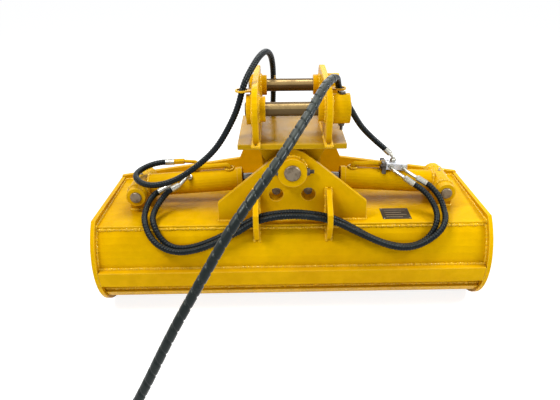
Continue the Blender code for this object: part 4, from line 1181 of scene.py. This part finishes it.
def hose_line(name: str, points: Sequence[Point], far_name: Optional[str], step: float = 0.008) -> List[Vector]:
    """The centreline of a hose, straight at both ends as part.py has it.

    Args:
        name: The hose end that it starts in.
        points: The route's points from the datum.
        far_name: The hose end that it ends in, or None for a coupler.
        step: Distance between points.

    Returns:
        The points of the line in the frame.
    """
    first = [Vector(p) for p in HOSE_ENDS[name][-2:]]
    route = list(points)
    if far_name:
        last = [Vector(p) for p in HOSE_ENDS[far_name][-2:]]
        way = last[1] - last[0]
    else:
        last = [Vector(p) for p in points[-2:]]
        way = last[0] - last[1]
        route = route[:-1]
    near_seat, near_lead = lead(first[1], first[1] - first[0])
    far_seat, far_lead = lead(last[1], way)
    line = [near_seat, *smooth_route([near_lead, *route, far_lead], step), far_seat]
    for _ in range(RELAX_ROUNDS):
        middle = [(a + b * 2 + c) / 4 for a, b, c in zip(line[2:], line[3:-3], line[4:])]
        line = line[:3] + middle + line[-3:]
    return [at(p) for p in line]


def split_line(line: Sequence[Vector], index: int) -> Tuple[List[Vector], List[Vector]]:
    """Cuts a line in two that share a point."""
    return list(line[: index + 1]), list(line[index:])


@dataclass(frozen=True)
class Wrap:
    """What a hose's outside looks like from turn to turn.

    Attributes:
        pitch: Distance from one turn to the next.
        depth: How far the groove between two turns goes in.
        groove: The groove's share of the pitch.
        spacing: Distance between the mesh's rings.
        sides: How many sides its section has.
        finish: Its look.
    """

    pitch: float
    depth: float
    groove: float
    spacing: float
    sides: int
    finish: Finish


COVER_WRAP = Wrap(0.0105, 0.0016, 0.42, 0.0021, 20, HOSE_RUBBER)
GUARD_WRAP = Wrap(0.0400, 0.0032, 0.20, 0.0025, 24, GUARD_PLASTIC)


def wrapped_tube(draft: Draft, line: Sequence[Vector], radius: float, wrap: Wrap) -> None:
    """A tube with a groove that winds round it.

    Args:
        draft: What it is added to.
        line: Its centreline.
        radius: Its outer radius.
        wrap: How it is wound.
    """
    stations, path = resampled(line, wrap.spacing, 8)
    rings = draft.sweep(path, radius, wrap.sides)
    for ring, centre, station in zip(rings, path, stations):
        for j, vert in enumerate(ring):
            phase = (station / wrap.pitch + j / wrap.sides) % 1.0
            edge = min(phase, 1 - phase) / (wrap.groove / 2)
            if edge < 1:
                way = vert.co - centre
                vert.co = centre + way * (1 - wrap.depth * (1 - edge * edge) / radius)


def make_hose(shop: Paintshop, run: HoseRun, line: Sequence[Vector]) -> bpy.types.Object:
    """A hose stretch as a wrapped tube.

    Args:
        shop: Where its material comes from.
        run: What it is.
        line: Its centreline.

    Returns:
        The hose's object.
    """
    draft = Draft()
    wrap = GUARD_WRAP if run.radius > HOSE_RADIUS else COVER_WRAP
    wrapped_tube(draft, line, run.radius, wrap)
    hose = draft.release(run.name, shop, wrap.finish, 50.0)
    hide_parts(run.node)
    if run.bodies[0] is run.bodies[1]:
        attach(hose, run.bodies[0].value)
    else:
        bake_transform(hose)
    LOG.debug("%s is %.3f m long", run.name, route_length(line))
    return hose


def nearest_index(line: Sequence[Vector], point: Point) -> int:
    """Index of the line's point that is nearest to a place given from the datum."""
    goal = at(point)
    return min(range(len(line)), key=lambda k: (line[k] - goal).length)


SUPPLY_RUNS = (
    HoseRun(
        "supply_hose_left_root",
        "supply_hose_left",
        (Body.CYLINDER_LEFT, Body.BUCKET),
        (-0.5, 0.236, 0.1),
        (-0.5, 0.080, 0.1),
    ),
    HoseRun(
        "supply_hose_left_run",
        "supply_hose_left",
        (Body.BUCKET, Body.HEADSTOCK),
        (0.0, 0.0, 0.180),
        (0.0, 0.0, 0.440),
    ),
    HoseRun(
        "supply_hose_left_tail",
        "supply_hose_left",
        (Body.HEADSTOCK, Body.HEADSTOCK),
        far_end="connector",
        coupler="coupler_left",
    ),
    HoseRun(
        "supply_hose_right_root",
        "supply_hose_right",
        (Body.CYLINDER_RIGHT, Body.BUCKET),
        (0.375, 0.234, 0.160),
        (0.320, 0.220, 0.240),
    ),
    HoseRun(
        "supply_hose_right_run",
        "supply_hose_right",
        (Body.BUCKET, Body.HEADSTOCK),
        (0.290, 0.211, 0.284),
        (0.206, 0.180, 0.400),
    ),
    HoseRun(
        "supply_hose_right_guarded",
        "supply_hose_right",
        (Body.HEADSTOCK, Body.HEADSTOCK),
        far_end="connector",
        radius=GUARD_RADIUS,
        coupler="coupler_right",
    ),
)


def supply_lines() -> List[List[Vector]]:
    """The centrelines of the supply hoses' six stretches, in the order of SUPPLY_RUNS."""
    left = hose_line("supply_hose_end_left", SUPPLY_HOSE_LEFT, None)
    left_root, rest = split_line(left, nearest_index(left, ROOT_END_LEFT))
    left_run, left_tail = split_line(rest, nearest_index(rest, LEFT_GUIDE))
    right = hose_line("supply_hose_end_right", SUPPLY_HOSE_RIGHT, None)
    cut = next(k for k in range(2, len(right)) if route_length(right[: k + 1]) > SHORTEST_CORD)
    right_root, rest = split_line(right, cut)
    low = at((0, 0, GUARD_LOW)).z
    cut = next(k for k, point in enumerate(rest) if k > 4 and point.z > low and abs(point.x) < GUARD_START)
    right_run, guarded = split_line(rest, cut)
    return [left_root, left_run, left_tail, right_root, right_run, guarded]


def make_hoses(shop: Paintshop) -> None:
    """All four hoses, in stretches that each ride on one body or lie between two.

    Args:
        shop: Where the materials come from.
    """
    for level, points, left_y in (("low", CROSS_HOSE_LOW, 0.100), ("high", CROSS_HOSE_HIGH, 0.088)):
        node = f"cross_hose_{level}"
        line = hose_line(f"{level}_hose_end_left", points, f"{level}_hose_end_right")
        left, right = split_line(line, nearest_index(line, (0.0, points[CROSS_MIDDLE][1], 0.03)))
        for name, body, x, y, half in (
            ("left", Body.CYLINDER_LEFT, -0.5, left_y, left),
            ("right", Body.CYLINDER_RIGHT, 0.5, 0.094, right[::-1]),
        ):
            run = HoseRun(f"{node}_{name}", node, (body, Body.BUCKET), (x, y, 0.05), (x, -0.03, 0.0))
            make_hose(shop, run, half)
    for run, line in zip(SUPPLY_RUNS, supply_lines()):
        make_hose(shop, run, line)


# Places that the details are measured from


@dataclass(frozen=True)
class Cylinder:
    """Where one hydraulic cylinder lies at rest.

    Attributes:
        side: 1 for the right cylinder, -1 for the left one.
        body: The barrel's body.
        rod: The rod's body.
    """

    side: int
    body: Body
    rod: Body

    @property
    def name(self) -> str:
        """The side's name."""
        return "left" if self.side < 0 else "right"

    @property
    def base(self) -> Vector:
        """The middle of its base pin."""
        return at((self.side * BASE_PIN_X, CYLINDER_Y, BASE_PIN_HEIGHT))

    @property
    def way(self) -> Vector:
        """The direction that its rod comes out in."""
        return Vector((-self.side * math.cos(REST_ANGLE), 0, math.sin(REST_ANGLE)))

    @property
    def up(self) -> Vector:
        """Square to the rod, away from the deck."""
        return Vector((self.side * math.sin(REST_ANGLE), 0, math.cos(REST_ANGLE)))

    def place(self, along: float, across: float, lift: float) -> Vector:
        """A point given from the base pin.

        Args:
            along: Distance along the rod.
            across: Distance towards the mouth.
            lift: Distance away from the deck.

        Returns:
            The point in the frame.
        """
        return self.base + self.way * along + Vector((0, across, 0)) + self.up * lift

    def turn(self) -> Matrix:
        """The rotation whose X, Y and Z are along, across and lift."""
        return Matrix((self.way, (0, 1, 0), self.up)).transposed()


LEFT = Cylinder(-1, Body.CYLINDER_LEFT, Body.ROD_LEFT)
RIGHT = Cylinder(1, Body.CYLINDER_RIGHT, Body.ROD_RIGHT)


# Welds


# The line that a weld's bead lies on
Seam = Tuple[Vector, ...]


def corners(name: str) -> Tuple[Vector, Vector]:
    """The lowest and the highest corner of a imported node's box."""
    low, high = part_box(name)
    return Vector(low), Vector(high)


def weld_group() -> bpy.types.NodeTree:
    """Geometry nodes that lay a row of overlapping ripples along every line of a wire mesh.

    Returns:
        The group's tree.
    """
    tree = bpy.data.node_groups.new("Weld bead", "GeometryNodeTree")
    face = tree.interface
    face.new_socket("Geometry", in_out="INPUT", socket_type="NodeSocketGeometry")
    for label, default in (("Pitch", 0.0062), ("Radius", 0.0060), ("Unevenness", 0.28)):
        face.new_socket(label, in_out="INPUT", socket_type="NodeSocketFloat").default_value = default
    face.new_socket("Seed", in_out="INPUT", socket_type="NodeSocketInt").default_value = 3
    face.new_socket("Material", in_out="INPUT", socket_type="NodeSocketMaterial")
    face.new_socket("Geometry", in_out="OUTPUT", socket_type="NodeSocketGeometry")
    nodes = NodeTree(tree)
    given = nodes.add("NodeGroupInput").outputs
    curve = nodes.add("GeometryNodeMeshToCurve")
    steps = nodes.add("GeometryNodeResampleCurve", mode="LENGTH")
    ripple = nodes.add("GeometryNodeMeshUVSphere", Segments=8, Rings=5)
    sizes = nodes.add("FunctionNodeRandomValue", data_type="FLOAT")
    least, most = [socket for socket in sizes.inputs if socket.type == "VALUE" and socket.enabled][:2]
    row = nodes.add("GeometryNodeInstanceOnPoints")
    real = nodes.add("GeometryNodeRealizeInstances")
    smooth = nodes.add("GeometryNodeSetShadeSmooth")
    dress = nodes.add("GeometryNodeSetMaterial")
    for output, into in (
        (nodes.maths("SUBTRACT", 1.0, given["Unevenness"]), least),
        (nodes.maths("ADD", 1.0, given["Unevenness"]), most),
        (given["Seed"], next(socket for socket in sizes.inputs if socket.name == "Seed")),
        (given["Geometry"], curve.inputs["Mesh"]),
        (curve.outputs["Curve"], steps.inputs["Curve"]),
        (given["Pitch"], steps.inputs["Length"]),
        (steps.outputs["Curve"], row.inputs["Points"]),
        (given["Radius"], ripple.inputs["Radius"]),
        (ripple.outputs["Mesh"], row.inputs["Instance"]),
        (next(s for s in sizes.outputs if s.type == "VALUE" and s.enabled), row.inputs["Scale"]),
        (row.outputs["Instances"], real.inputs["Geometry"]),
        (real.outputs["Geometry"], smooth.inputs["Geometry"]),
        (smooth.outputs["Geometry"], dress.inputs["Geometry"]),
        (given["Material"], dress.inputs["Material"]),
        (dress.outputs["Geometry"], nodes.add("NodeGroupOutput").inputs["Geometry"]),
    ):
        nodes.join(output, into)
    return tree


def lay_welds(
    name: str, seams: Sequence[Seam], look: bpy.types.Material, body: Body, tree: bpy.types.NodeTree, seed: int
) -> None:
    """Welds a set of seams as one piece.

    Args:
        name: The piece's name.
        seams: The lines.
        look: Its material.
        body: The body that it rides on.
        tree: The bead's geometry nodes.
        seed: What its unevenness starts from.
    """
    wire = bpy.data.meshes.new(f"{name}_wire")
    verts: List[Vector] = []
    edges: List[Tuple[int, int]] = []
    for seam in seams:
        first = len(verts)
        verts += seam
        edges += [(k, k + 1) for k in range(first, len(verts) - 1)]
    wire.from_pydata(verts, edges, [])
    draft = bpy.data.objects.new(f"{name}_wire", wire)
    bpy.context.scene.collection.objects.link(draft)
    modifier = draft.modifiers.new("weld", "NODES")
    modifier.node_group = tree
    inputs = {item.name: item.identifier for item in tree.interface.items_tree if item.in_out == "INPUT"}
    modifier[inputs["Seed"]] = seed
    modifier[inputs["Material"]] = look
    graph = bpy.context.evaluated_depsgraph_get()
    mesh = bpy.data.meshes.new_from_object(draft.evaluated_get(graph))
    bpy.data.objects.remove(draft)
    mesh.name = name
    made = bpy.data.objects.new(name, mesh)
    bpy.context.scene.collection.objects.link(made)
    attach(made, body.value)


def straight(*points: Sequence[float]) -> Seam:
    """A seam through points of the frame."""
    return tuple(Vector(p) for p in points)


def round_seam(centre: Vector, axis: Vector, radius: float, count: int = 24) -> Seam:
    """A seam round an axis.

    Args:
        centre: Its centre.
        axis: What it goes round.
        radius: Its radius.
        count: How many steps it has.

    Returns:
        The seam.
    """
    axis = axis.normalized()
    flat = UP if abs(axis.z) < 0.9 else ACROSS
    side = axis.cross(flat).normalized()
    other = axis.cross(side)
    points = []
    for k in range(count + 1):
        angle = math.radians(360.0 * k / count)
        points.append(centre + (side * math.cos(angle) + other * math.sin(angle)) * radius)
    return tuple(points)


def bucket_seams() -> List[Seam]:
    """Where the bucket's plates are welded together."""
    seams: List[Seam] = []
    deck_low, deck_high = corners("top_deck")
    shell_low = corners("shell")[0]
    front_low, front_high = corners("front_hinge_plate")
    rear_low = corners("rear_hinge_plate")[0]
    heel_low, heel_high = corners("heel_wear_plate")
    top = deck_high.z
    seams.append(straight((deck_low.x, deck_low.y + 0.001, deck_low.z), (deck_high.x, deck_low.y + 0.001, deck_low.z)))
    centre = Vector((0, shell_low.y + SHELL_RADIUS, shell_low.z + SHELL_RADIUS))
    for x in (deck_low.x, deck_high.x):
        seams.append(straight((x, deck_low.y, top), (x, rear_low.y, top)))
        points = []
        for k in range(SIDE_STEPS + 1):
            angle = math.radians(SIDE_START - k * SIDE_ARC / SIDE_STEPS)
            points.append(centre + Vector((x, SHELL_RADIUS * math.cos(angle), SHELL_RADIUS * math.sin(angle))))
        seams.append(tuple(p for p in points if p.z < deck_low.z))
    for y in (front_low.y, front_high.y):
        seams.append(straight((front_low.x, y, top), (front_high.x, y, top)))
    for x in (front_low.x, front_high.x):
        seams.append(straight((x, front_low.y, top), (x, front_high.y, top)))
    seams.append(straight((deck_low.x, rear_low.y, top), (deck_high.x, rear_low.y, top)))
    for side, name in ((-1, "left"), (1, "right")):
        for angle, half in ((HEEL_ANGLE, HEEL_HALF), (STRIP_ANGLE, STRIP_HALF)):
            out = Vector((0, -math.cos(angle), -math.sin(angle)))
            along = Vector((0, math.sin(angle), -math.cos(angle)))
            foot = centre + out * SHELL_RADIUS + along * half * side
            foot = centre + (foot - centre).normalized() * SHELL_RADIUS
            seams.append(straight(foot + Vector((heel_low.x, 0, 0)), foot + Vector((heel_high.x, 0, 0))))
        rib_low, rib_high = corners(f"hose_rib_{name}")
        for x in (rib_low.x, rib_high.x):
            seams.append(straight((x, rib_high.y, top), (x, rib_high.y, rib_high.z)))
            seams.append(straight((x, deck_low.y, top), (x, rib_high.y, top)))
            points = []
            for k in range(RIB_STEPS + 1):
                z = deck_low.z - (deck_low.z - rib_low.z) * k / RIB_STEPS
                y = centre.y - math.sqrt(SHELL_RADIUS**2 - (z - centre.z) ** 2)
                points.append(Vector((x, y, z)))
            seams.append(tuple(points))
        for end, way in (("back", -1), ("front", 1)):
            low, high = corners(f"cylinder_lug_{name}_{end}")
            middle = (low.x + high.x) / 2
            left, right = middle - LUG_HALF_FOOT, middle + LUG_HALF_FOOT
            inner = high.y if way < 0 else low.y
            outer = inner + way * LUG_THICKNESS
            seams.append(straight((left, inner, top), (left, outer, top), (right, outer, top), (right, inner, top)))
            spot = Vector((middle, outer, BASE_PIN_HEIGHT + DATUM.z))
            seams.append(round_seam(spot, TO_MOUTH, LUG_BOSS_RADIUS))
    boss_low, boss_high = corners("front_pin_boss")
    spot = Vector((0, boss_high.y, (boss_low.z + boss_high.z) / 2))
    seams.append(round_seam(spot, TO_MOUTH, (boss_high.x - boss_low.x) / 2, count=36))
    return seams


def headstock_seams() -> List[Seam]:
    """Where the headstock's plates, bosses and saddles are welded."""
    seams: List[Seam] = []
    base_low, base_high = corners("headstock_base")
    bosses = (("near", NEAR_BOSS_RADIUS, NEAR_COLLAR_RADIUS), ("far", FAR_BOSS_RADIUS, FAR_COLLAR_RADIUS))
    for side in ("left", "right"):
        low, high = corners(f"ear_{side}")
        for x in (low.x, high.x):
            seams.append(straight((x, low.y + 0.004, base_high.z), (x, high.y - 0.004, base_high.z)))
        seams.append(straight((low.x, low.y, base_high.z), (high.x, low.y, base_high.z)))
        inner_x, outer_x = (high.x, low.x) if side == "left" else (low.x, high.x)
        for boss, radius, collar in bosses:
            boss_low, boss_high = corners(f"{boss}_boss_{side}")
            middle = (boss_low + boss_high) / 2
            seams.append(round_seam(Vector((inner_x, middle.y, middle.z)), ACROSS, radius))
            seams.append(round_seam(Vector((outer_x, middle.y, middle.z)), ACROSS, collar))
    for faces, half in ((SADDLE_FACES, SADDLE_HALF_TOP), (CLEVIS_FACES, CLEVIS_HALF_TOP)):
        for y in faces:
            seams.append(straight((-half, y + DATUM.y, base_low.z), (half, y + DATUM.y, base_low.z)))
    return seams


def cylinder_seams(cylinder: Cylinder) -> List[Seam]:
    """The welds on a barrel: its base eye, its port and its pipe."""
    return [
        round_seam(cylinder.place(BARREL_START, 0, 0), cylinder.way, BARREL_RADIUS * 0.96),
        round_seam(cylinder.place(PIPE_PORT, 0, BARREL_RADIUS + 0.0005), cylinder.up, PORT_RADIUS),
    ]


# Fittings


def bolt(draft: Draft, head: Vector, way: Vector, radius: float, tall: float, spin: float = 0.3) -> None:
    """A hexagon head on its washer, with a chamfered top.

    Args:
        draft: What it is added to.
        head: The middle of its seat.
        way: The way that it stands up.
        radius: Half its width across corners.
        tall: The head's height.
        spin: Turn about its axis.
    """
    start = radius * WASHER_HEIGHT
    draft.turned(head, way, [(0, radius * WASHER_SPREAD), (start, radius * WASHER_SPREAD)], 20)
    rows = [(start, radius), (start + tall * 0.86, radius), (start + tall, radius * 0.86)]
    draft.turned(head, way, rows, 6, spin)


def threaded_end(draft: Draft, start: Vector, way: Vector, radius: float, length: float, turns: int) -> None:
    """A bolt's end with ring-shaped thread crests and a chamfer."""
    rows: List[Tuple[float, float]] = [(0.0, radius)]
    for k in range(turns):
        near = length * (k + 0.2) / turns
        rows += [(near, radius * 0.86), (near + length * 0.35 / turns, radius), (near + length * 0.55 / turns, radius)]
    rows += [(length, radius * 0.8)]
    draft.turned(start, way, rows, 14)


def make_cross_bolts(shop: Paintshop) -> None:
    """The bolts through the tilt pin's boss and the near pin's collar, as real hexagon bolts."""
    low, high = corners("tilt_pin_bolt")
    middle = (low + high) / 2

    def along(x: float) -> Vector:
        """A point on the tilt pin's bolt."""
        return Vector((x, middle.y, middle.z))

    draft = Draft()
    draft.sweep([along(low.x + 0.004), along(high.x - 0.017)], TILT_BOLT, 14)
    bolt(draft, along(low.x + 0.0094), -ACROSS, TILT_HEAD, 0.0085)
    nut = high.x - 0.016 - 0.0105
    bolt(draft, along(nut), ACROSS, TILT_HEAD, 0.0095, 0.1)
    threaded_end(draft, along(nut + 0.009), ACROSS, TILT_BOLT, high.x - nut - 0.009, 7)
    made = draft.release("tilt_pin_hex_bolt", shop, DARK_BOLT)
    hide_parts("tilt_pin_bolt")
    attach(made, Body.BUCKET.value)
    low, high = corners("near_pin_bolt")
    centre = (low + high) / 2

    def upright(z: float) -> Vector:
        """A point on the near pin's bolt."""
        return Vector((centre.x, centre.y, z))

    draft = Draft()
    draft.sweep([upright(low.z + 0.018), upright(high.z - 0.005)], LOCK_BOLT, 14)
    bolt(draft, upright(high.z - 0.0072), UP, LOCK_HEAD, 0.0062)
    nut = low.z + 0.016 + 0.009
    bolt(draft, upright(nut), -UP, LOCK_HEAD, 0.0082, 0.1)
    threaded_end(draft, upright(nut - 0.008), -UP, LOCK_BOLT, nut - 0.008 - low.z, 6)
    made = draft.release("near_pin_hex_bolt", shop, DARK_BOLT)
    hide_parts("near_pin_bolt")
    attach(made, Body.HEADSTOCK.value)


def make_hose_end(shop: Paintshop, name: str, body: Body) -> None:
    """A crimped hose end in detail: hexagon union nut, bent stem, collar and ribbed ferrule.

    Args:
        shop: Where its material comes from.
        name: The CAD node that it stands for.
        body: The body that it rides on.
    """
    painted = name == "supply_hose_end_left"
    points = [at(p) for p in HOSE_ENDS[name]]
    nut_way = (points[1] - points[0]).normalized()
    ferrule_way = (points[-1] - points[-2]).normalized()
    draft = Draft()
    rows = [
        (0, NUT_RADIUS * 0.86),
        (0.0012, NUT_RADIUS),
        (NUT_LENGTH - 0.0012, NUT_RADIUS),
        (NUT_LENGTH, NUT_RADIUS * 0.84),
    ]
    draft.turned(points[0], nut_way, rows, 6, 0.2)
    start = points[0] + nut_way * NUT_LENGTH
    draft.turned(start, nut_way, [(0, NUT_RADIUS * 0.74), (0.0022, NUT_RADIUS * 0.70)], 20)
    stem = rounded([start, *points[1:-1], points[-2] + ferrule_way * 0.008], ELBOW_REACH)
    draft.sweep(stem, ELBOW_RADIUS, 14)
    length = (points[-1] - points[-2]).length
    crimps, first = 5, 0.0060
    if painted:
        crimps, first = 3, max(0.0060, length - 0.034)
        end = length - 0.036
        rows = [(0.002, 0.0105), (0.004, 0.0122), (end, 0.0122), (end + 0.002, 0.0100)]
        draft.turned(points[-2], ferrule_way, rows, 6, 0.2)
        made = draft.release(f"{name}_union", shop, PAINT, 28.0)
        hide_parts(name)
        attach(made, body.value)
        draft = Draft()
    rows = [(first - 0.0030, ELBOW_RADIUS * 1.35), (first - 0.0005, FERRULE_RADIUS * 0.93)]
    pitch = (length - first - 0.0050) / crimps
    for k in range(crimps):
        near = first + (length - first - 0.0050) * k / crimps
        rows += [(near, FERRULE_RADIUS * 0.985), (near + pitch * 0.62, FERRULE_RADIUS * 0.985)]
        rows += [(near + pitch * 0.72, FERRULE_RADIUS * 0.90), (near + pitch * 0.92, FERRULE_RADIUS * 0.90)]
    rows += [(length - 0.0045, FERRULE_RADIUS), (length - 0.0008, FERRULE_RADIUS), (length, FERRULE_RADIUS * 0.93)]
    draft.turned(points[-2], ferrule_way, rows, 20)
    made = draft.release(f"{name}_fitting", shop, ZINC, 28.0)
    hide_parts(name)
    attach(made, body.value)


def rounded(points: Sequence[Vector], reach: float, count: int = 5) -> List[Vector]:
    """The same path with its corners rounded off.

    Args:
        points: The path's corners.
        reach: How far from each corner the rounding starts.
        count: How many steps a corner gets.

    Returns:
        The rounded path.
    """
    path = [Vector(points[0])]
    for before, corner, after in zip(points, points[1:], points[2:]):
        short = min(reach, (corner - before).length * 0.48, (after - corner).length * 0.48)
        start = corner + (before - corner).normalized() * short
        end = corner + (after - corner).normalized() * short
        for k in range(count + 1):
            t = k / count
            path.append(start * (1 - t) ** 2 + corner * 2 * t * (1 - t) + end * t**2)
    path.append(Vector(points[-1]))
    return path


def grooves(
    start: float, pitch: float, count: int, radius: float, depth: float, half: float
) -> List[Tuple[float, float]]:
    """A row of ring-shaped grooves in a turned profile.

    Args:
        start: Where the first one begins.
        pitch: Distance from one to the next.
        count: How many there are.
        radius: The radius outside them.
        depth: How deep they are.
        half: Half a groove's width.

    Returns:
        Height and radius of the profile's points.
    """
    rows: List[Tuple[float, float]] = []
    for k in range(count):
        near = start + k * pitch
        rows += [(near, radius), (near + half, radius - depth), (near + half * 2, radius)]
    return rows


COUPLER_PROFILE = (
    (0.031, 0.0165),
    (0.033, COUPLER_BODY),
    *grooves(0.036, 0.0024, 5, COUPLER_BODY, 0.0012, 0.0008),
    (0.0490, COUPLER_BODY),
    (0.0500, COUPLER_SLEEVE),
    *grooves(0.052, 0.0026, 8, COUPLER_SLEEVE, 0.0013, 0.0009),
    (0.0750, COUPLER_SLEEVE),
    (0.0765, COUPLER_SLEEVE - 0.003),
    (0.0870, COUPLER_SLEEVE - 0.003),
    (0.0895, 0.0150),
)


def make_couplers(shop: Paintshop) -> None:
    """Quick couplers with a hexagon, a grooved sliding sleeve and a rounded nose."""
    for side, points in (("left", SUPPLY_HOSE_LEFT), ("right", SUPPLY_HOSE_RIGHT)):
        end, before = at(points[-1]), at(points[-2])
        way = (end - before).normalized()
        draft = Draft()
        draft.turned(end, way, COUPLER_FERRULE, 20)
        draft.turned(end, way, COUPLER_HEXAGON, 6, 0.3)
        draft.turned(end, way, COUPLER_PROFILE, 28)
        made = draft.release(f"coupler_{side}_body", shop, ZINC, 28.0)
        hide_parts(f"coupler_{side}")
        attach(made, Body.HEADSTOCK.value)


def make_block_details(shop: Paintshop) -> None:
    """Plugs and screws on the valve block, and the bracket that holds its pipe."""
    low, high = BLOCK_START, BLOCK_START + BLOCK_LENGTH
    top = BARREL_RADIUS + BLOCK_HEIGHT
    draft = Draft()
    for along in (low + 0.012, high - 0.012):
        seat = RIGHT.place(along, BLOCK_ACROSS + 0.014, top)
        draft.turned(seat, RIGHT.up, PLUG, 18)
    for along in (low + 0.018, high - 0.018):
        seat = RIGHT.place(along, BLOCK_ACROSS + BLOCK_DEPTH / 2, top - BLOCK_HEIGHT / 2)
        bolt(draft, seat, TO_MOUTH, 0.0085, 0.006)
    made = draft.release("valve_block_plugs", shop, BLOCK_STEEL)
    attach(made, Body.CYLINDER_RIGHT.value)
    draft = Draft()
    station = high + 0.0085
    foot, head = BARREL_RADIUS - 0.006, top + 0.001
    middle = RIGHT.place(station, BLOCK_ACROSS - 0.004, (foot + head) / 2)
    draft.box(middle, (CLAMP_WIDTH, BLOCK_DEPTH + 0.010, head - foot), 0.0015, RIGHT.turn())
    draft.box(RIGHT.place(station, -0.0270, 0.045), (CLAMP_WIDTH, 0.0040, 0.030), 0.0008, RIGHT.turn())
    bolt(draft, RIGHT.place(station + 0.0065, BLOCK_ACROSS - 0.022, PIPE_LIFT - 0.002), RIGHT.way, 0.0075, 0.005)
    made = draft.release("pipe_clamp_right", shop, DARK_BOLT)
    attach(made, Body.CYLINDER_RIGHT.value)


def make_barrel_details(shop: Paintshop, cylinder: Cylinder) -> None:
    """The gland's lip and wiper, the pipe's hexagon union and the base eye's grease nipple."""
    side = cylinder.name
    draft = Draft()
    face = cylinder.place(GLAND_END, 0, 0)
    draft.turned(face, cylinder.way, GLAND_LIP, 36)
    union = cylinder.place(UNION_STATION[side], 0 if side == "left" else PIPE_ACROSS, PIPE_LIFT)
    draft.turned(union, cylinder.way, UNION_HEXAGON, 6, 0.25)
    draft.turned(union, cylinder.way, UNION_NECK, 20)
    made = draft.release(f"barrel_fittings_{side}", shop, PAINT)
    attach(made, cylinder.body.value)
    draft = Draft()
    draft.turned(cylinder.place(GLAND_END + 0.0016, 0, 0), cylinder.way, WIPER, 32)
    made = draft.release(f"rod_wiper_{side}", shop, HOSE_RUBBER)
    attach(made, cylinder.body.value)
    draft = Draft()
    nipple(draft, cylinder.place(0.0, 0.020, 0.0395), cylinder.up)
    made = draft.release(f"base_eye_nipple_{side}", shop, ZINC)
    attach(made, cylinder.body.value)


def nipple(draft: Draft, seat: Vector, way: Vector) -> None:
    """A grease nipple: hexagon, cone and ball."""
    draft.turned(seat, way, NIPPLE_HEXAGON, 6)
    draft.turned(seat, way, NIPPLE_HEAD, 14)


def make_headstock_details(shop: Paintshop) -> None:
    """Pin ends behind the access holes, and grease nipples."""
    draft = Draft()
    for side in (-1, 1):
        seat = at((side * ROD_PIN_X, CLEVIS_FACES[0] - 0.0102, ROD_PIN_HEIGHT))
        draft.turned(seat, -TO_MOUTH, PIN_END_TURNING, 30)
        draft.turned(seat + Vector((0, -PIN_TAIL, 0)), -TO_MOUTH, PIN_END_CENTRE, 20)
    made = draft.release("rod_pin_ends", shop, PIN_END)
    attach(made, Body.HEADSTOCK.value)
    draft = Draft()
    for place in PIN_NIPPLES:
        nipple(draft, at(place), UP)
    made = draft.release("pin_nipples", shop, BRASS)
    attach(made, Body.HEADSTOCK.value)


def make_nameplate(shop: Paintshop) -> None:
    """The bare rating plate on the deck, held by four rivets."""
    deck_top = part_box("top_deck")[1][2]
    left, right, back, front = NAMEPLATE
    centre = Vector(((left + right) / 2, DATUM.y + (back + front) / 2, deck_top + PLATE_THICKNESS / 2))
    draft = Draft()
    draft.box(centre, (right - left, front - back, PLATE_THICKNESS), 0.0004)
    made = draft.release("nameplate", shop, PLATE_FACE)
    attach(made, Body.BUCKET.value)
    draft = Draft()
    for k in range(PLATE_LINES):
        wide = (right - left) * (0.74 - 0.16 * (k % 2))
        y = DATUM.y + front - 0.018 - k * (front - back - 0.034) / (PLATE_LINES - 1)
        x = left + 0.015 + wide / 2
        draft.box(Vector((x, y, deck_top + LINE_LIFT)), (wide, LINE_HEIGHT, LINE_RELIEF), 0.0)
    for x in (left + RIVET_INSET, right - RIVET_INSET):
        for y in (back + RIVET_INSET, front - RIVET_INSET):
            seat = Vector((x, DATUM.y + y, deck_top + PLATE_THICKNESS))
            draft.turned(seat, UP, RIVET, 14)
    made = draft.release("nameplate_lines", shop, ZINC_BOLT)
    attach(made, Body.BUCKET.value)


def make_details(shop: Paintshop) -> None:
    """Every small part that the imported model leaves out."""
    bead = shop.material(WELD_PAINT)
    tree = weld_group()
    lay_welds("bucket_welds", bucket_seams(), bead, Body.BUCKET, tree, 3)
    lay_welds("headstock_welds", headstock_seams(), bead, Body.HEADSTOCK, tree, 5)
    for cylinder in (LEFT, RIGHT):
        side = cylinder.name
        lay_welds(f"barrel_{side}_welds", cylinder_seams(cylinder), bead, cylinder.body, tree, 7)
        for level in ("low", "high", "supply"):
            make_hose_end(shop, f"{level}_hose_end_{side}", cylinder.body)
        make_barrel_details(shop, cylinder)
    make_cross_bolts(shop)
    make_couplers(shop)
    make_block_details(shop)
    make_headstock_details(shop)
    make_nameplate(shop)


def main() -> None:
    """Builds the whole scene."""
    bpy.context.scene.view_settings.view_transform = "Standard"
    make_camera(CameraSetup())
    make_lights(SOFTBOXES)
    make_world()
    make_floor()
    shop = Paintshop()
    dress_nodes(shop)
    make_hoses(shop)
    make_details(shop)


main()
